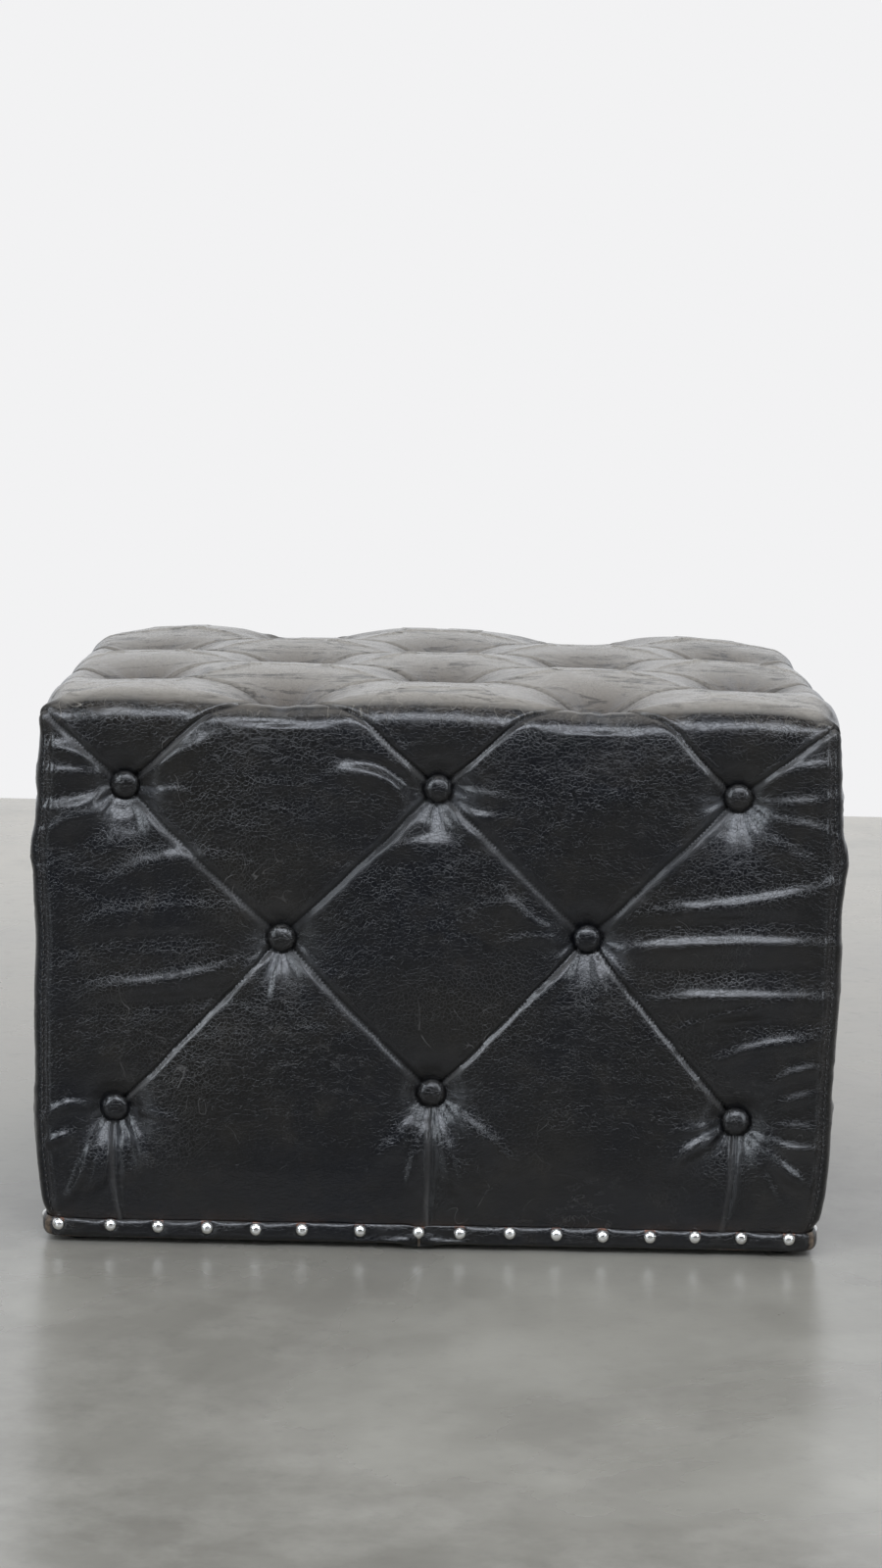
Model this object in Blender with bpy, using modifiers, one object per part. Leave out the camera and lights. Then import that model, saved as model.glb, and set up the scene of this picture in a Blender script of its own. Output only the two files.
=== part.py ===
"""Deep-buttoned leather ottoman, built as an upholsterer builds it.

A pine base frame and a plywood box carry foam pads.  One sewn leather cover goes over the pads, is pulled
in by forty-four covered buttons on twine, and is closed along its foot by a leather trim band.

Frame: +X to the right, +Y to the back, +Z up, origin on the floor under the middle of the box.  Metres.
"""

import math

import bmesh
import bpy
from mathutils import Matrix, Vector

# ---------------------------------------------------------------- driving dimensions
WIDTH, DEPTH, HEIGHT = 0.600, 0.420, 0.430   # over the leather
FIT = 0.0003                                 # gap between pieces that touch
CUT = 0.001                                  # how far a cutter reaches past what it cuts
LEATHER = 0.0016                             # thickness of the hide
FOAM = 0.030                                 # pads on the four sides
SEAT_FOAM = 0.050                            # slab on the top
TAPER = 0.0085                               # the cover draws in this much at the base frame
TAPER_LOW, TAPER_HIGH = 0.024, 0.080         # heights where it is fully drawn in and where that starts
EDGE_RADIUS = 0.022                          # rounding of the padded edges
EDGE_STEPS = 3

GLIDE_HEIGHT, GLIDE_RADIUS, GLIDE_FOOT = 0.0057, 0.012, 0.010
GLIDE_PIN, GLIDE_PIN_LENGTH = 0.0014, 0.014
GLIDE_CHAMFER, GLIDE_PIN_TIP = 0.002, 0.002
FRAME_BOTTOM = 0.006                         # underside of the pine base frame
BASE_HEIGHT, BASE_RAIL = 0.028, 0.045        # base rails: height and width
PANEL, BOARD = 0.006, 0.012                  # plywood of the sides and of the seat
BATTEN, BATTEN_HEIGHT = 0.018, 0.022         # corner posts, top rails and cross rails
CROSS_RAIL_X = 0.058                         # the two cross rails pass between the button rows
BLOCK_LEG, BLOCK_THICK = 0.060, 0.020        # triangular glue blocks
CAMBRIC, CAMBRIC_MARGIN = 0.0008, 0.006      # dust cover cloth, and how far it stops inside the rails
BAND_BOTTOM, BAND_TOP, BAND_THICK = 0.0065, 0.0205, 0.0016
BAND_JOINT_X, BAND_JOINT = -0.008, 0.0006    # where the band's two ends meet, and their gap

# ---------------------------------------------------------------- buttons
BUTTON_RADIUS, BUTTON_DOME = 0.011, 0.0085
DOME_RINGS = (0.0, 0.75, 1.0)                # rings of a button's dome, as shares of its radius
TWINE_RADIUS, TWINE_HOLE = 0.0012, 0.0022    # the holes are square, and this is to their corners
TOGGLE_RADIUS, TOGGLE_THICK = 0.004, 0.002
KNOT_RADIUS = 0.0017                         # knots that tie a set of buttons to one run of twine
RUN_CLEAR = 0.004                            # the run of twine stands this far behind the toggles
SIDE_DIMPLE, SEAT_DIMPLE = 0.014, 0.028      # how deep each button pulls the leather
DIMPLE_FLOOR = 0.0132                        # radius of the dimple under the button
SIDE_MOUTH, SEAT_MOUTH = 0.021, 0.027        # radius of the dimple at the surface
DIMPLE_CUT = 0.006                           # how far its cutter stands out of the surface
ROUND_STEPS, DIMPLE_STEPS, HOLE_STEPS = 8, 6, 4

PITCH = 0.2326                               # button spacing across the front and the seat
SEAT_ROW = 0.0825                            # spacing of the button rows on the seat
ROW_HIGH, ROW_MID, ROW_LOW = 0.352, 0.240, 0.108
SIDE_COLUMN, SIDE_MID_COLUMN = 0.148, 0.080  # button columns on the two ends

# ---------------------------------------------------------------- derived
BASE_TOP = FRAME_BOTTOM + BASE_HEIGHT
SEAT_TOP = HEIGHT - LEATHER - FIT - SEAT_FOAM            # upper face of the seat board
SEAT_UNDER = SEAT_TOP - BOARD
RAIL_UNDER = SEAT_UNDER - BATTEN_HEIGHT
BOX_X = WIDTH / 2 - LEATHER - FIT - FOAM                 # outer faces of the plywood box
BOX_Y = DEPTH / 2 - LEATHER - FIT - FOAM
POST_X, POST_Y = BOX_X - PANEL, BOX_Y - PANEL            # outer faces of posts and rails
BASE_X = WIDTH / 2 - TAPER - LEATHER - FIT
BASE_Y = DEPTH / 2 - TAPER - LEATHER - FIT

# Each face: outward normal, direction across it, and distance of its plane from the origin.
FACES = {
    "top": (Vector((0, 0, 1)), Vector((1, 0, 0)), HEIGHT),
    "front": (Vector((0, -1, 0)), Vector((1, 0, 0)), DEPTH / 2),
    "back": (Vector((0, 1, 0)), Vector((-1, 0, 0)), DEPTH / 2),
    "left": (Vector((-1, 0, 0)), Vector((0, -1, 0)), WIDTH / 2),
    "right": (Vector((1, 0, 0)), Vector((0, 1, 0)), WIDTH / 2),
}
# The two long sides and the two ends, with the side of the axis each is on.
LONG_SIDES = (("front", -1), ("back", 1))
ENDS = (("left", -1), ("right", 1))


def diamond_rows(column, mid_column):
    """Three, two and three buttons on an upright face, as (row, across, up)."""
    rows = ((1, ROW_HIGH, (-column, 0.0, column)),
            (2, ROW_MID, (-mid_column, mid_column)),
            (3, ROW_LOW, (-column, 0.0, column)))
    return [(row, across, up) for row, up, columns in rows for across in columns]


def seat_rows():
    """Two, three, two, three and two buttons on the seat, from the front, as (row, across, up)."""
    placed = []
    for row in range(1, 6):
        columns = (-PITCH / 2, PITCH / 2) if row % 2 else (-PITCH, 0.0, PITCH)
        placed += [(row, across, (row - 3) * SEAT_ROW) for across in columns]
    return placed


# The front was tufted by eye, so its buttons stray a little from the lattice.
FRONT_BUTTONS = [
    (1, -0.2340, 0.3530), (1, -0.0010, 0.3555), (1, 0.2220, 0.3530),
    (2, -0.1155, 0.2400), (2, 0.1135, 0.2440),
    (3, -0.2400, 0.1065), (3, -0.0010, 0.1235), (3, 0.2290, 0.1060),
]
BUTTONS = {
    "top": seat_rows(),
    "front": FRONT_BUTTONS,
    "back": diamond_rows(PITCH, PITCH / 2),
    "left": diamond_rows(SIDE_COLUMN, SIDE_MID_COLUMN),
    "right": diamond_rows(SIDE_COLUMN, SIDE_MID_COLUMN),
}

MATERIALS = {
    # name: colour, roughness, metallic
    "black_leather": ((0.018, 0.018, 0.020), 0.38, 0.0),
    "pine": ((0.62, 0.44, 0.25), 0.65, 0.0),
    "plywood": ((0.55, 0.38, 0.22), 0.70, 0.0),
    "foam": ((0.80, 0.72, 0.50), 0.95, 0.0),
    "cambric": ((0.030, 0.030, 0.032), 0.90, 0.0),
    "nylon": ((0.025, 0.025, 0.025), 0.45, 0.0),
}


# ---------------------------------------------------------------- scene helpers
def clear_scene():
    for obj in list(bpy.data.objects):
        bpy.data.objects.remove(obj)


def new_collection(name):
    made = bpy.data.collections.new(name)
    bpy.context.scene.collection.children.link(made)
    return made


def new_material(name, colour, roughness, metallic):
    made = bpy.data.materials.new(name)
    made.use_nodes = True
    surface = made.node_tree.nodes["Principled BSDF"]
    surface.inputs["Base Color"].default_value = (*colour, 1.0)
    surface.inputs["Roughness"].default_value = roughness
    surface.inputs["Metallic"].default_value = metallic
    made.diffuse_color = (*colour, 1.0)
    return made


def add_object(name, mesh, material=None):
    """A part in the ottoman's collection, or a wire-drawn cutter where it has no material."""
    obj = bpy.data.objects.new(name, mesh)
    if material:
        mesh.materials.clear()
        mesh.materials.append(materials[material])
        ottoman.objects.link(obj)
    else:
        obj.hide_render = True
        obj.display_type = "WIRE"
        cutters.objects.link(obj)
    return obj


def add_bmesh(name, bm, material=None):
    mesh = bpy.data.meshes.new(name)
    bm.to_mesh(mesh)
    bm.free()
    return add_object(name, mesh, material)


def add_box(bm, low, high):
    low, high = Vector(low), Vector(high)
    placed = Matrix.Translation((low + high) / 2) @ Matrix.Diagonal((*(high - low), 1.0))
    bmesh.ops.create_cube(bm, size=1.0, matrix=placed)


def add_tapered_rod(bm, placed, low, high, low_radius, high_radius, steps):
    """A rod along placed's Z axis, from low to high on it."""
    middle = placed @ Matrix.Translation((0, 0, (low + high) / 2))
    bmesh.ops.create_cone(bm, cap_ends=True, segments=steps, depth=high - low, radius1=low_radius,
                          radius2=high_radius, matrix=middle)


def box(name, low, high, material=None):
    bm = bmesh.new()
    add_box(bm, low, high)
    return add_bmesh(name, bm, material)


def side_box(name, side, long_axis, reach, outer, inner, heights, material):
    """A box on one side of the axis, from outer to inner, reaching equally far both ways along long_axis."""
    near, far = sorted((side * outer, side * inner))
    low, high = heights
    if long_axis == "X":
        return box(name, (-reach, near, low), (reach, far, high), material)
    return box(name, (near, -reach, low), (far, reach, high), material)


def upright_edges(bm):
    return [e for e in bm.edges if abs(e.verts[0].co.z - e.verts[1].co.z) > FIT]


def round_edges(bm, edges, radius):
    bmesh.ops.bevel(bm, geom=edges, offset=radius, segments=EDGE_STEPS, profile=0.5, affect="EDGES")


def boolean(obj, other, operation="DIFFERENCE"):
    modifier = obj.modifiers.new(f"{operation.lower()}_{other.name}", "BOOLEAN")
    modifier.operation = operation
    modifier.object = other
    modifier.solver = "EXACT"


def smooth(mesh, degrees=40):
    mesh.shade_smooth()
    mesh.set_sharp_from_angle(angle=math.radians(degrees))
    return mesh


def evaluated_mesh(obj):
    """The object's mesh with its modifiers applied; the object itself is removed."""
    graph = bpy.context.evaluated_depsgraph_get()
    mesh = bpy.data.meshes.new_from_object(obj.evaluated_get(graph))
    bpy.data.objects.remove(obj)
    return mesh


# ---------------------------------------------------------------- where each button goes
def place_on(face, across, up, depth=0.0):
    """Matrix that puts local +Z along the face's outward normal, at that depth below its plane."""
    normal, right, distance = FACES[face]
    upward = normal.cross(right)
    centre = normal * (distance - depth) + right * across + upward * up
    turn = Matrix((right, upward, normal)).transposed()
    return Matrix.Translation(centre) @ turn.to_4x4()


def dimple_depth(face):
    return SEAT_DIMPLE if face == "top" else SIDE_DIMPLE


def twine_end(face, row):
    """Depth below the face's plane of the wood surface that the twine is tied off on."""
    if face == "top":
        over_rail = row in (1, 5)
        return HEIGHT - (RAIL_UNDER if over_rail else SEAT_UNDER)
    through_rail = row == 1
    return LEATHER + FIT + FOAM + PANEL + (BATTEN if through_rail else 0.0)


def all_buttons():
    for face, placed in BUTTONS.items():
        for row, across, up in placed:
            yield face, row, across, up


# ---------------------------------------------------------------- cutters shared by several pieces
def padded_block(name, inset, bottom):
    """The padded body as a solid, its surface set in by inset: drawn in at the foot, with rounded edges."""
    bm = bmesh.new()
    half_x, half_y = WIDTH / 2 - inset, DEPTH / 2 - inset
    add_box(bm, (-half_x, -half_y, bottom), (half_x, half_y, HEIGHT - inset))
    under = [e for e in bm.edges if max(v.co.z for v in e.verts) < bottom + FIT]
    round_edges(bm, [e for e in bm.edges if e not in under], EDGE_RADIUS - inset)
    for level in (TAPER_LOW, TAPER_HIGH):
        geometry = bm.verts[:] + bm.edges[:] + bm.faces[:]
        bmesh.ops.bisect_plane(bm, geom=geometry, plane_co=(0, 0, level), plane_no=(0, 0, 1))
    for vert in bm.verts:
        share = (TAPER_HIGH - vert.co.z) / (TAPER_HIGH - TAPER_LOW)
        drawn_in = TAPER * min(1.0, max(0.0, share))
        vert.co.x -= math.copysign(drawn_in, vert.co.x)
        vert.co.y -= math.copysign(drawn_in, vert.co.y)
    return add_bmesh(name, bm)


def dimple_cutter(name, inset):
    """A cone frustum at every button, grown by inset, as one cutter."""
    bm = bmesh.new()
    for face, row, across, up in all_buttons():
        depth = dimple_depth(face)
        mouth = SEAT_MOUTH if face == "top" else SIDE_MOUTH
        slope = (mouth - DIMPLE_FLOOR) / depth
        add_tapered_rod(bm, place_on(face, across, up), -(depth + inset), DIMPLE_CUT,
                        DIMPLE_FLOOR + inset, mouth + inset + slope * DIMPLE_CUT, DIMPLE_STEPS)
    return add_bmesh(name, bm)


def twine_cutter():
    """A hole for every length of twine, from outside the leather to just past the wood it is tied to."""
    bm = bmesh.new()
    for face, row, across, up in all_buttons():
        add_tapered_rod(bm, place_on(face, across, up), -(twine_end(face, row) + CUT), 2 * CUT,
                        TWINE_HOLE, TWINE_HOLE, HOLE_STEPS)
    return add_bmesh("twine_holes", bm)


# ---------------------------------------------------------------- wooden frame
def corner_places(x, y):
    """The four places at that distance from the axes, each with its corner's name."""
    return [(f"{deep}_{end}", y_side, x_side, Vector((x_side * x, y_side * y, 0)))
            for deep, y_side in LONG_SIDES for end, x_side in ENDS]


def glide_places():
    return [(name, place) for name, _, _, place in
            corner_places(BASE_X - BASE_RAIL / 2, BASE_Y - BASE_RAIL / 2)]


def glide_hole_cutter():
    """Holes for the glides: a pin hole up into the rails, and a wide one through the dust cover."""
    bm = bmesh.new()
    pin_top = FRAME_BOTTOM + GLIDE_PIN_LENGTH + CUT
    cloth_top = FRAME_BOTTOM - FIT / 3
    for _, place in glide_places():
        placed = Matrix.Translation(place)
        pin = GLIDE_PIN + FIT
        body = GLIDE_RADIUS + CUT
        add_tapered_rod(bm, placed, cloth_top, pin_top, pin, pin, ROUND_STEPS)
        add_tapered_rod(bm, placed, CUT, cloth_top, body, body, ROUND_STEPS)
    return add_bmesh("glide_holes", bm)


def build_base_frame(glide_holes):
    """Front and back rails run the full width, their ends rounded like the cover; the others fit between."""
    for name, side in LONG_SIDES:
        near, far = sorted((side * BASE_Y, side * (BASE_Y - BASE_RAIL)))
        bm = bmesh.new()
        add_box(bm, (-BASE_X, near, FRAME_BOTTOM), (BASE_X, far, BASE_TOP))
        ends = [e for e in upright_edges(bm) if abs(e.verts[0].co.y) > BASE_Y - FIT]
        round_edges(bm, ends, EDGE_RADIUS - LEATHER - FIT)
        boolean(add_bmesh(f"base_rail_{name}", bm, "pine"), glide_holes)
    for name, side in ENDS:
        side_box(f"base_rail_{name}", side, "Y", BASE_Y - BASE_RAIL - FIT, BASE_X, BASE_X - BASE_RAIL,
                 (FRAME_BOTTOM, BASE_TOP), "pine")


def build_glue_blocks():
    """Triangular blocks glued into the inner corners of the base frame."""
    lift = Vector((0, 0, FRAME_BOTTOM + (BASE_HEIGHT - BLOCK_THICK) / 2))
    inset = BASE_RAIL + FIT
    for name, y_side, x_side, corner in corner_places(BASE_X - inset, BASE_Y - inset):
        bm = bmesh.new()
        add_box(bm, (0, 0, 0), (BLOCK_LEG, BLOCK_LEG, BLOCK_THICK))
        bmesh.ops.bisect_plane(bm, geom=bm.verts[:] + bm.edges[:] + bm.faces[:],
                               plane_co=(BLOCK_LEG, 0, 0), plane_no=(1, 1, 0), clear_outer=True)
        bmesh.ops.holes_fill(bm, edges=bm.edges[:])
        into_corner = Matrix.Translation(corner + lift) @ Matrix.Diagonal((-x_side, -y_side, 1, 1))
        bmesh.ops.transform(bm, matrix=into_corner, verts=bm.verts[:])
        bmesh.ops.recalc_face_normals(bm, faces=bm.faces[:])
        add_bmesh(f"glue_block_{name}", bm, "pine")


def build_posts_and_rails(twine_holes):
    """Four corner posts, a rail along each side on top of them, and two rails across under the seat."""
    half = Vector((BATTEN / 2, BATTEN / 2, 0))
    foot = Vector((0, 0, BASE_TOP + FIT))
    head = Vector((0, 0, RAIL_UNDER - FIT))
    for name, _, _, middle in corner_places(POST_X - BATTEN / 2, POST_Y - BATTEN / 2):
        box(f"corner_post_{name}", middle - half + foot, middle + half + head, "pine")
    heights = (RAIL_UNDER, SEAT_UNDER)
    reach = POST_Y - BATTEN - FIT
    for name, side in LONG_SIDES:
        rail = side_box(f"top_rail_{name}", side, "X", POST_X, POST_Y, POST_Y - BATTEN, heights, "pine")
        boolean(rail, twine_holes)
    for name, side in ENDS:
        rail = side_box(f"top_rail_{name}", side, "Y", reach, POST_X, POST_X - BATTEN, heights, "pine")
        boolean(rail, twine_holes)
        side_box(f"seat_cross_rail_{name}", side, "Y", reach, CROSS_RAIL_X + BATTEN / 2,
                 CROSS_RAIL_X - BATTEN / 2, heights, "pine")


def build_plywood(twine_holes):
    """The four panels and the seat board."""
    heights = (BASE_TOP + FIT, SEAT_UNDER)
    boards = [side_box(f"panel_{name}", side, "X", BOX_X, BOX_Y, POST_Y + FIT, heights, "plywood")
              for name, side in LONG_SIDES]
    boards += [side_box(f"panel_{name}", side, "Y", POST_Y, BOX_X, POST_X + FIT, heights, "plywood")
               for name, side in ENDS]
    boards.append(box("seat_board", (-BOX_X, -BOX_Y, SEAT_UNDER + FIT), (BOX_X, BOX_Y, SEAT_TOP), "plywood"))
    for board in boards:
        boolean(board, twine_holes)


# ---------------------------------------------------------------- padding and leather
def build_foam(twine_holes):
    """Five pads cut from the padded block: one over the top and one on each side."""
    pad_shape = padded_block("pad_shape", LEATHER + FIT, BASE_TOP + FIT)
    boolean(pad_shape, dimple_cutter("pad_dimples", LEATHER + FIT))
    slab = (SEAT_TOP + FIT, WIDTH)
    heights = (0, SEAT_TOP)
    pads = [box("seat_foam", (-WIDTH, -WIDTH, slab[0]), (WIDTH, WIDTH, slab[1]), "foam")]
    pads += [side_box(f"foam_{name}", side, "X", WIDTH, WIDTH, BOX_Y + FIT, heights, "foam")
             for name, side in LONG_SIDES]
    pads += [side_box(f"foam_{name}", side, "Y", BOX_Y, WIDTH, BOX_X + FIT, heights, "foam")
             for name, side in ENDS]
    for pad in pads:
        boolean(pad, pad_shape, "INTERSECT")
        boolean(pad, twine_holes)


def build_cover(twine_holes):
    """The sewn hide: the padded block's skin, dimpled under every button and open at the foot."""
    hollow = padded_block("cover_hollow", LEATHER, FRAME_BOTTOM - EDGE_RADIUS)
    boolean(hollow, dimple_cutter("hollow_dimples", LEATHER))
    cover = padded_block("cover_blank", 0.0, FRAME_BOTTOM)
    boolean(cover, dimple_cutter("cover_dimples", 0.0))
    boolean(cover, hollow)
    boolean(cover, twine_holes)
    mesh = evaluated_mesh(cover)
    add_object("leather_cover", smooth(mesh), "black_leather")


def band_block(name, grow, low, high, material=None):
    """A block with the drawn-in foot's outline, grown outwards."""
    half_x, half_y = WIDTH / 2 - TAPER + grow, DEPTH / 2 - TAPER + grow
    bm = bmesh.new()
    add_box(bm, (-half_x, -half_y, low), (half_x, half_y, high))
    round_edges(bm, upright_edges(bm), EDGE_RADIUS + grow)
    return add_bmesh(name, bm, material)


def build_band():
    """Leather strip round the foot of the cover; its ends meet near the middle of the front."""
    band = band_block("trim_band", FIT + BAND_THICK, BAND_BOTTOM, BAND_TOP, "black_leather")
    boolean(band, band_block("band_inside", FIT, 0, BAND_TOP + EDGE_RADIUS))
    boolean(band, box("band_gap", (BAND_JOINT_X, -DEPTH, 0), (BAND_JOINT_X + BAND_JOINT, 0, HEIGHT)))


def build_underside(glide_holes):
    """The dust cover, and the four glides nailed up into the base rails."""
    half_x, half_y = BASE_X - CAMBRIC_MARGIN, BASE_Y - CAMBRIC_MARGIN
    cloth_top = FRAME_BOTTOM - FIT
    cloth = box("dust_cover", (-half_x, -half_y, cloth_top - CAMBRIC), (half_x, half_y, cloth_top), "cambric")
    boolean(cloth, glide_holes)
    pin_top = FRAME_BOTTOM + GLIDE_PIN_LENGTH
    profile = [(0, pin_top), (GLIDE_PIN, pin_top - GLIDE_PIN_TIP), (GLIDE_PIN, GLIDE_HEIGHT),
               (GLIDE_RADIUS, GLIDE_HEIGHT), (GLIDE_RADIUS, GLIDE_CHAMFER), (GLIDE_FOOT, 0), (0, 0)]
    shape = turned("glide_shape", profile, 2 * ROUND_STEPS)
    for name, place in glide_places():
        add_object(f"glide_{name}", shape, "nylon").location = place


# ---------------------------------------------------------------- buttons
def turned(name, profile, steps):
    """Mesh of a profile of (radius, height), listed from the top down its outer side, turned about Z."""
    mesh = bpy.data.meshes.new(name)
    mesh.from_pydata([(r, 0, z) for r, z in profile], [(i, i + 1) for i in range(len(profile) - 1)], [])
    obj = bpy.data.objects.new(name, mesh)
    bpy.context.scene.collection.objects.link(obj)
    screw = obj.modifiers.new("turn", "SCREW")
    screw.steps = screw.render_steps = steps
    screw.use_merge_vertices = True
    screw.merge_threshold = FIT / 6
    return smooth(evaluated_mesh(obj))


def button_mesh(length, stub=0.0):
    """A domed button on its twine, with the toggle that the twine is tied to.

    The twine has that length up to the toggle, and a stub of it can stand out behind."""
    dome = [(BUTTON_RADIUS * ring, FIT + (BUTTON_DOME - FIT) * math.sqrt(1 - ring * ring))
            for ring in DOME_RINGS]
    toggle_end = -length - TOGGLE_THICK
    profile = dome + [(TWINE_RADIUS, FIT), (TWINE_RADIUS, -length), (TOGGLE_RADIUS, -length),
                      (TOGGLE_RADIUS, toggle_end)]
    if stub:
        profile += [(KNOT_RADIUS, toggle_end), (KNOT_RADIUS, toggle_end - stub)]
    profile.append((0, profile[-1][1]))
    return turned("button_shape", profile, ROUND_STEPS)


def twine_leg(name, start, end):
    """A straight length of twine between two points."""
    along = end - start
    placed = Matrix.Translation(start) @ along.to_track_quat("Z", "Y").to_matrix().to_4x4()
    bm = bmesh.new()
    add_tapered_rod(bm, placed, 0, along.length, TWINE_RADIUS, TWINE_RADIUS, HOLE_STEPS)
    return add_bmesh(name, bm)


def build_single_buttons(face):
    """Each button of a face as its own piece, named by row and place in the row."""
    depth = dimple_depth(face)
    count = {}
    for row, across, up in BUTTONS[face]:
        shape = button_mesh(twine_end(face, row) - depth + FIT)
        count[row] = count.get(row, 0) + 1
        button = add_object(f"{face}_button_row{row}_{count[row]}", shape, "black_leather")
        button.matrix_world = place_on(face, across, up, depth)


def build_button_set(face):
    """The buttons of a face tied to one run of twine, as one piece.

    The run zigzags between the upper two rows, then drops to the lowest row and crosses it."""
    depth = dimple_depth(face)
    run_depth = twine_end(face, 1) + TOGGLE_THICK + RUN_CLEAR
    bm = bmesh.new()
    knots = {}
    for row, across, up in BUTTONS[face]:
        length = twine_end(face, row) - depth + FIT
        stub = run_depth - depth - length - TOGGLE_THICK + KNOT_RADIUS
        shape = button_mesh(length, stub)
        shape.transform(place_on(face, across, up, depth))
        bm.from_mesh(shape)
        knots.setdefault(row, []).append(place_on(face, across, up, run_depth).translation)
    buttons = add_bmesh(f"{face}_buttons", bm, "black_leather")
    smooth(buttons.data)
    high, mid, low = knots[1], knots[2], knots[3]
    route = [high[0], mid[0], high[1], mid[1], high[2], low[2], low[1], low[0]]
    for leg, (start, end) in enumerate(zip(route, route[1:]), 1):
        boolean(buttons, twine_leg(f"{face}_twine_{leg}", start, end), "UNION")


# ---------------------------------------------------------------- build
clear_scene()
ottoman = new_collection("tufted_ottoman")
cutters = new_collection("cutters")
materials = {name: new_material(name, *look) for name, look in MATERIALS.items()}

cutter_for_twine = twine_cutter()
cutter_for_glides = glide_hole_cutter()
build_base_frame(cutter_for_glides)
build_glue_blocks()
build_posts_and_rails(cutter_for_twine)
build_plywood(cutter_for_twine)
build_foam(cutter_for_twine)
build_cover(cutter_for_twine)
build_band()
build_underside(cutter_for_glides)
for button_face in ("top", "front"):
    build_single_buttons(button_face)
for button_face in ("back", "left", "right"):
    build_button_set(button_face)
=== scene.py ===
# Looks of a deep-buttoned black leather ottoman with a nailed leather band round its foot.
# Metres, +X right, +Y back, +Z up, origin on the floor under the middle.

import math

import bmesh
import bpy
import numpy as np
from mathutils import Matrix, Vector


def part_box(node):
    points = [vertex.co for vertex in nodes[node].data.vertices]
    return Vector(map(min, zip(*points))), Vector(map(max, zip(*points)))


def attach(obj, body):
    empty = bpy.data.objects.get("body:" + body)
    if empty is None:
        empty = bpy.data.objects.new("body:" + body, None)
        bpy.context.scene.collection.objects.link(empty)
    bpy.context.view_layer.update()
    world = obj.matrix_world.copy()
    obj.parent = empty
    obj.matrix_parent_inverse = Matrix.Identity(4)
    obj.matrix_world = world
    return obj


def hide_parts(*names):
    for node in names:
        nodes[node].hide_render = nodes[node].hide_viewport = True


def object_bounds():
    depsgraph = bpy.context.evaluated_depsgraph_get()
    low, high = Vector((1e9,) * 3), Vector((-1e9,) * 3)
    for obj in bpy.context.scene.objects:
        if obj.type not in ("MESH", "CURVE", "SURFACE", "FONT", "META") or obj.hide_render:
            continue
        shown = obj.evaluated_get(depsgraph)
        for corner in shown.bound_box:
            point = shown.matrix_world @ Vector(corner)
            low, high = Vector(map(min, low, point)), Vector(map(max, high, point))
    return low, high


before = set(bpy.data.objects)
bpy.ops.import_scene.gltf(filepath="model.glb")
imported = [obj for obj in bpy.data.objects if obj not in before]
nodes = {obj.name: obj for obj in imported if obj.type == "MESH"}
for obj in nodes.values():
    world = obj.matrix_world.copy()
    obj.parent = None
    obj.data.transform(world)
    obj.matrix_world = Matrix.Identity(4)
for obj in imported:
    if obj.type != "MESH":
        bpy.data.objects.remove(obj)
cad_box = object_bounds()

MM = 0.001
HALF_X, HALF_Y, TOP = cad_box[1].x, cad_box[1].y, cad_box[1].z
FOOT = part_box("leather_cover")[0].z            # lower edge of the leather
BAND_LOW, BAND_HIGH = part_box("trim_band")[0].z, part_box("trim_band")[1].z
BAND_HALF_X, BAND_HALF_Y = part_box("trim_band")[1].x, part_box("trim_band")[1].y
BAND_MIDDLE = (BAND_LOW + BAND_HIGH) / 2
BAND_THICK, BAND_GAP = 1.6 * MM, 0.3 * MM
TAPER = HALF_X - (BAND_HALF_X - BAND_THICK - BAND_GAP)    # the foot is drawn in by this much
TAPER_LOW, TAPER_HIGH = BAND_HIGH, 0.105       # and rounded in between these heights
CORNER = 0.024                                 # rounding of the padded edges
RIM_DROP = 6 * MM                              # the seat's rim lies this much below its crown
CROWN = 5.5 * MM                               # the seat rises this much from its front rim to its middle
ROUNDED_FROM = 0.33                            # the rim and the crown start above this height
SEAM_INSET = 9 * MM                            # the upright seams are this far in from the corners
SIDE_FLOOR, SEAT_FLOOR = 16 * MM, 28 * MM      # how deep the buttons pull the leather
SIDE_SAG, SEAT_SAG = 5 * MM, 12 * MM           # how far the pillows sink towards their pleats
SIDE_REACH, SEAT_REACH = 24 * MM, 29 * MM      # and over what distance
STEP = 2.1 * MM      # spacing of the leather's grid
rng = np.random.default_rng(7)


# --- numbers on many points at once
def smoothstep(low, high, value):
    share = np.clip((value - low) / (high - low), 0.0, 1.0)
    return share * share * (3 - 2 * share)


def bell(distance, width):
    """1 where the distance is 0, falling off over about the width."""
    return np.exp(-(distance / width) ** 2)


def raise_to(values, chosen, new):
    values[chosen] = np.maximum(values[chosen], new)


def unit(vectors):
    length = np.linalg.norm(vectors, axis=-1, keepdims=True)
    return vectors / np.maximum(length, 1e-12)


LATTICE = np.random.default_rng(23).uniform(-1, 1, (32, 32, 32))


def noise(points, size, seed=0.0):
    """Smooth noise from about -1 to 1, with blobs of that size in metres."""
    spot = np.asarray(points) / size + np.array([seed, seed * 1.7, seed * 0.6])
    cell = np.floor(spot).astype(int)
    share = spot - cell
    share = share * share * (3 - 2 * share)
    total = 0.0
    for corner in range(8):
        offset = np.array([corner & 1, corner >> 1 & 1, corner >> 2 & 1])
        weight = np.prod(np.where(offset, share, 1 - share), axis=-1)
        i, j, k = ((cell + offset) % 32).T
        total = total + weight * LATTICE[i, j, k]
    return total


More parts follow.
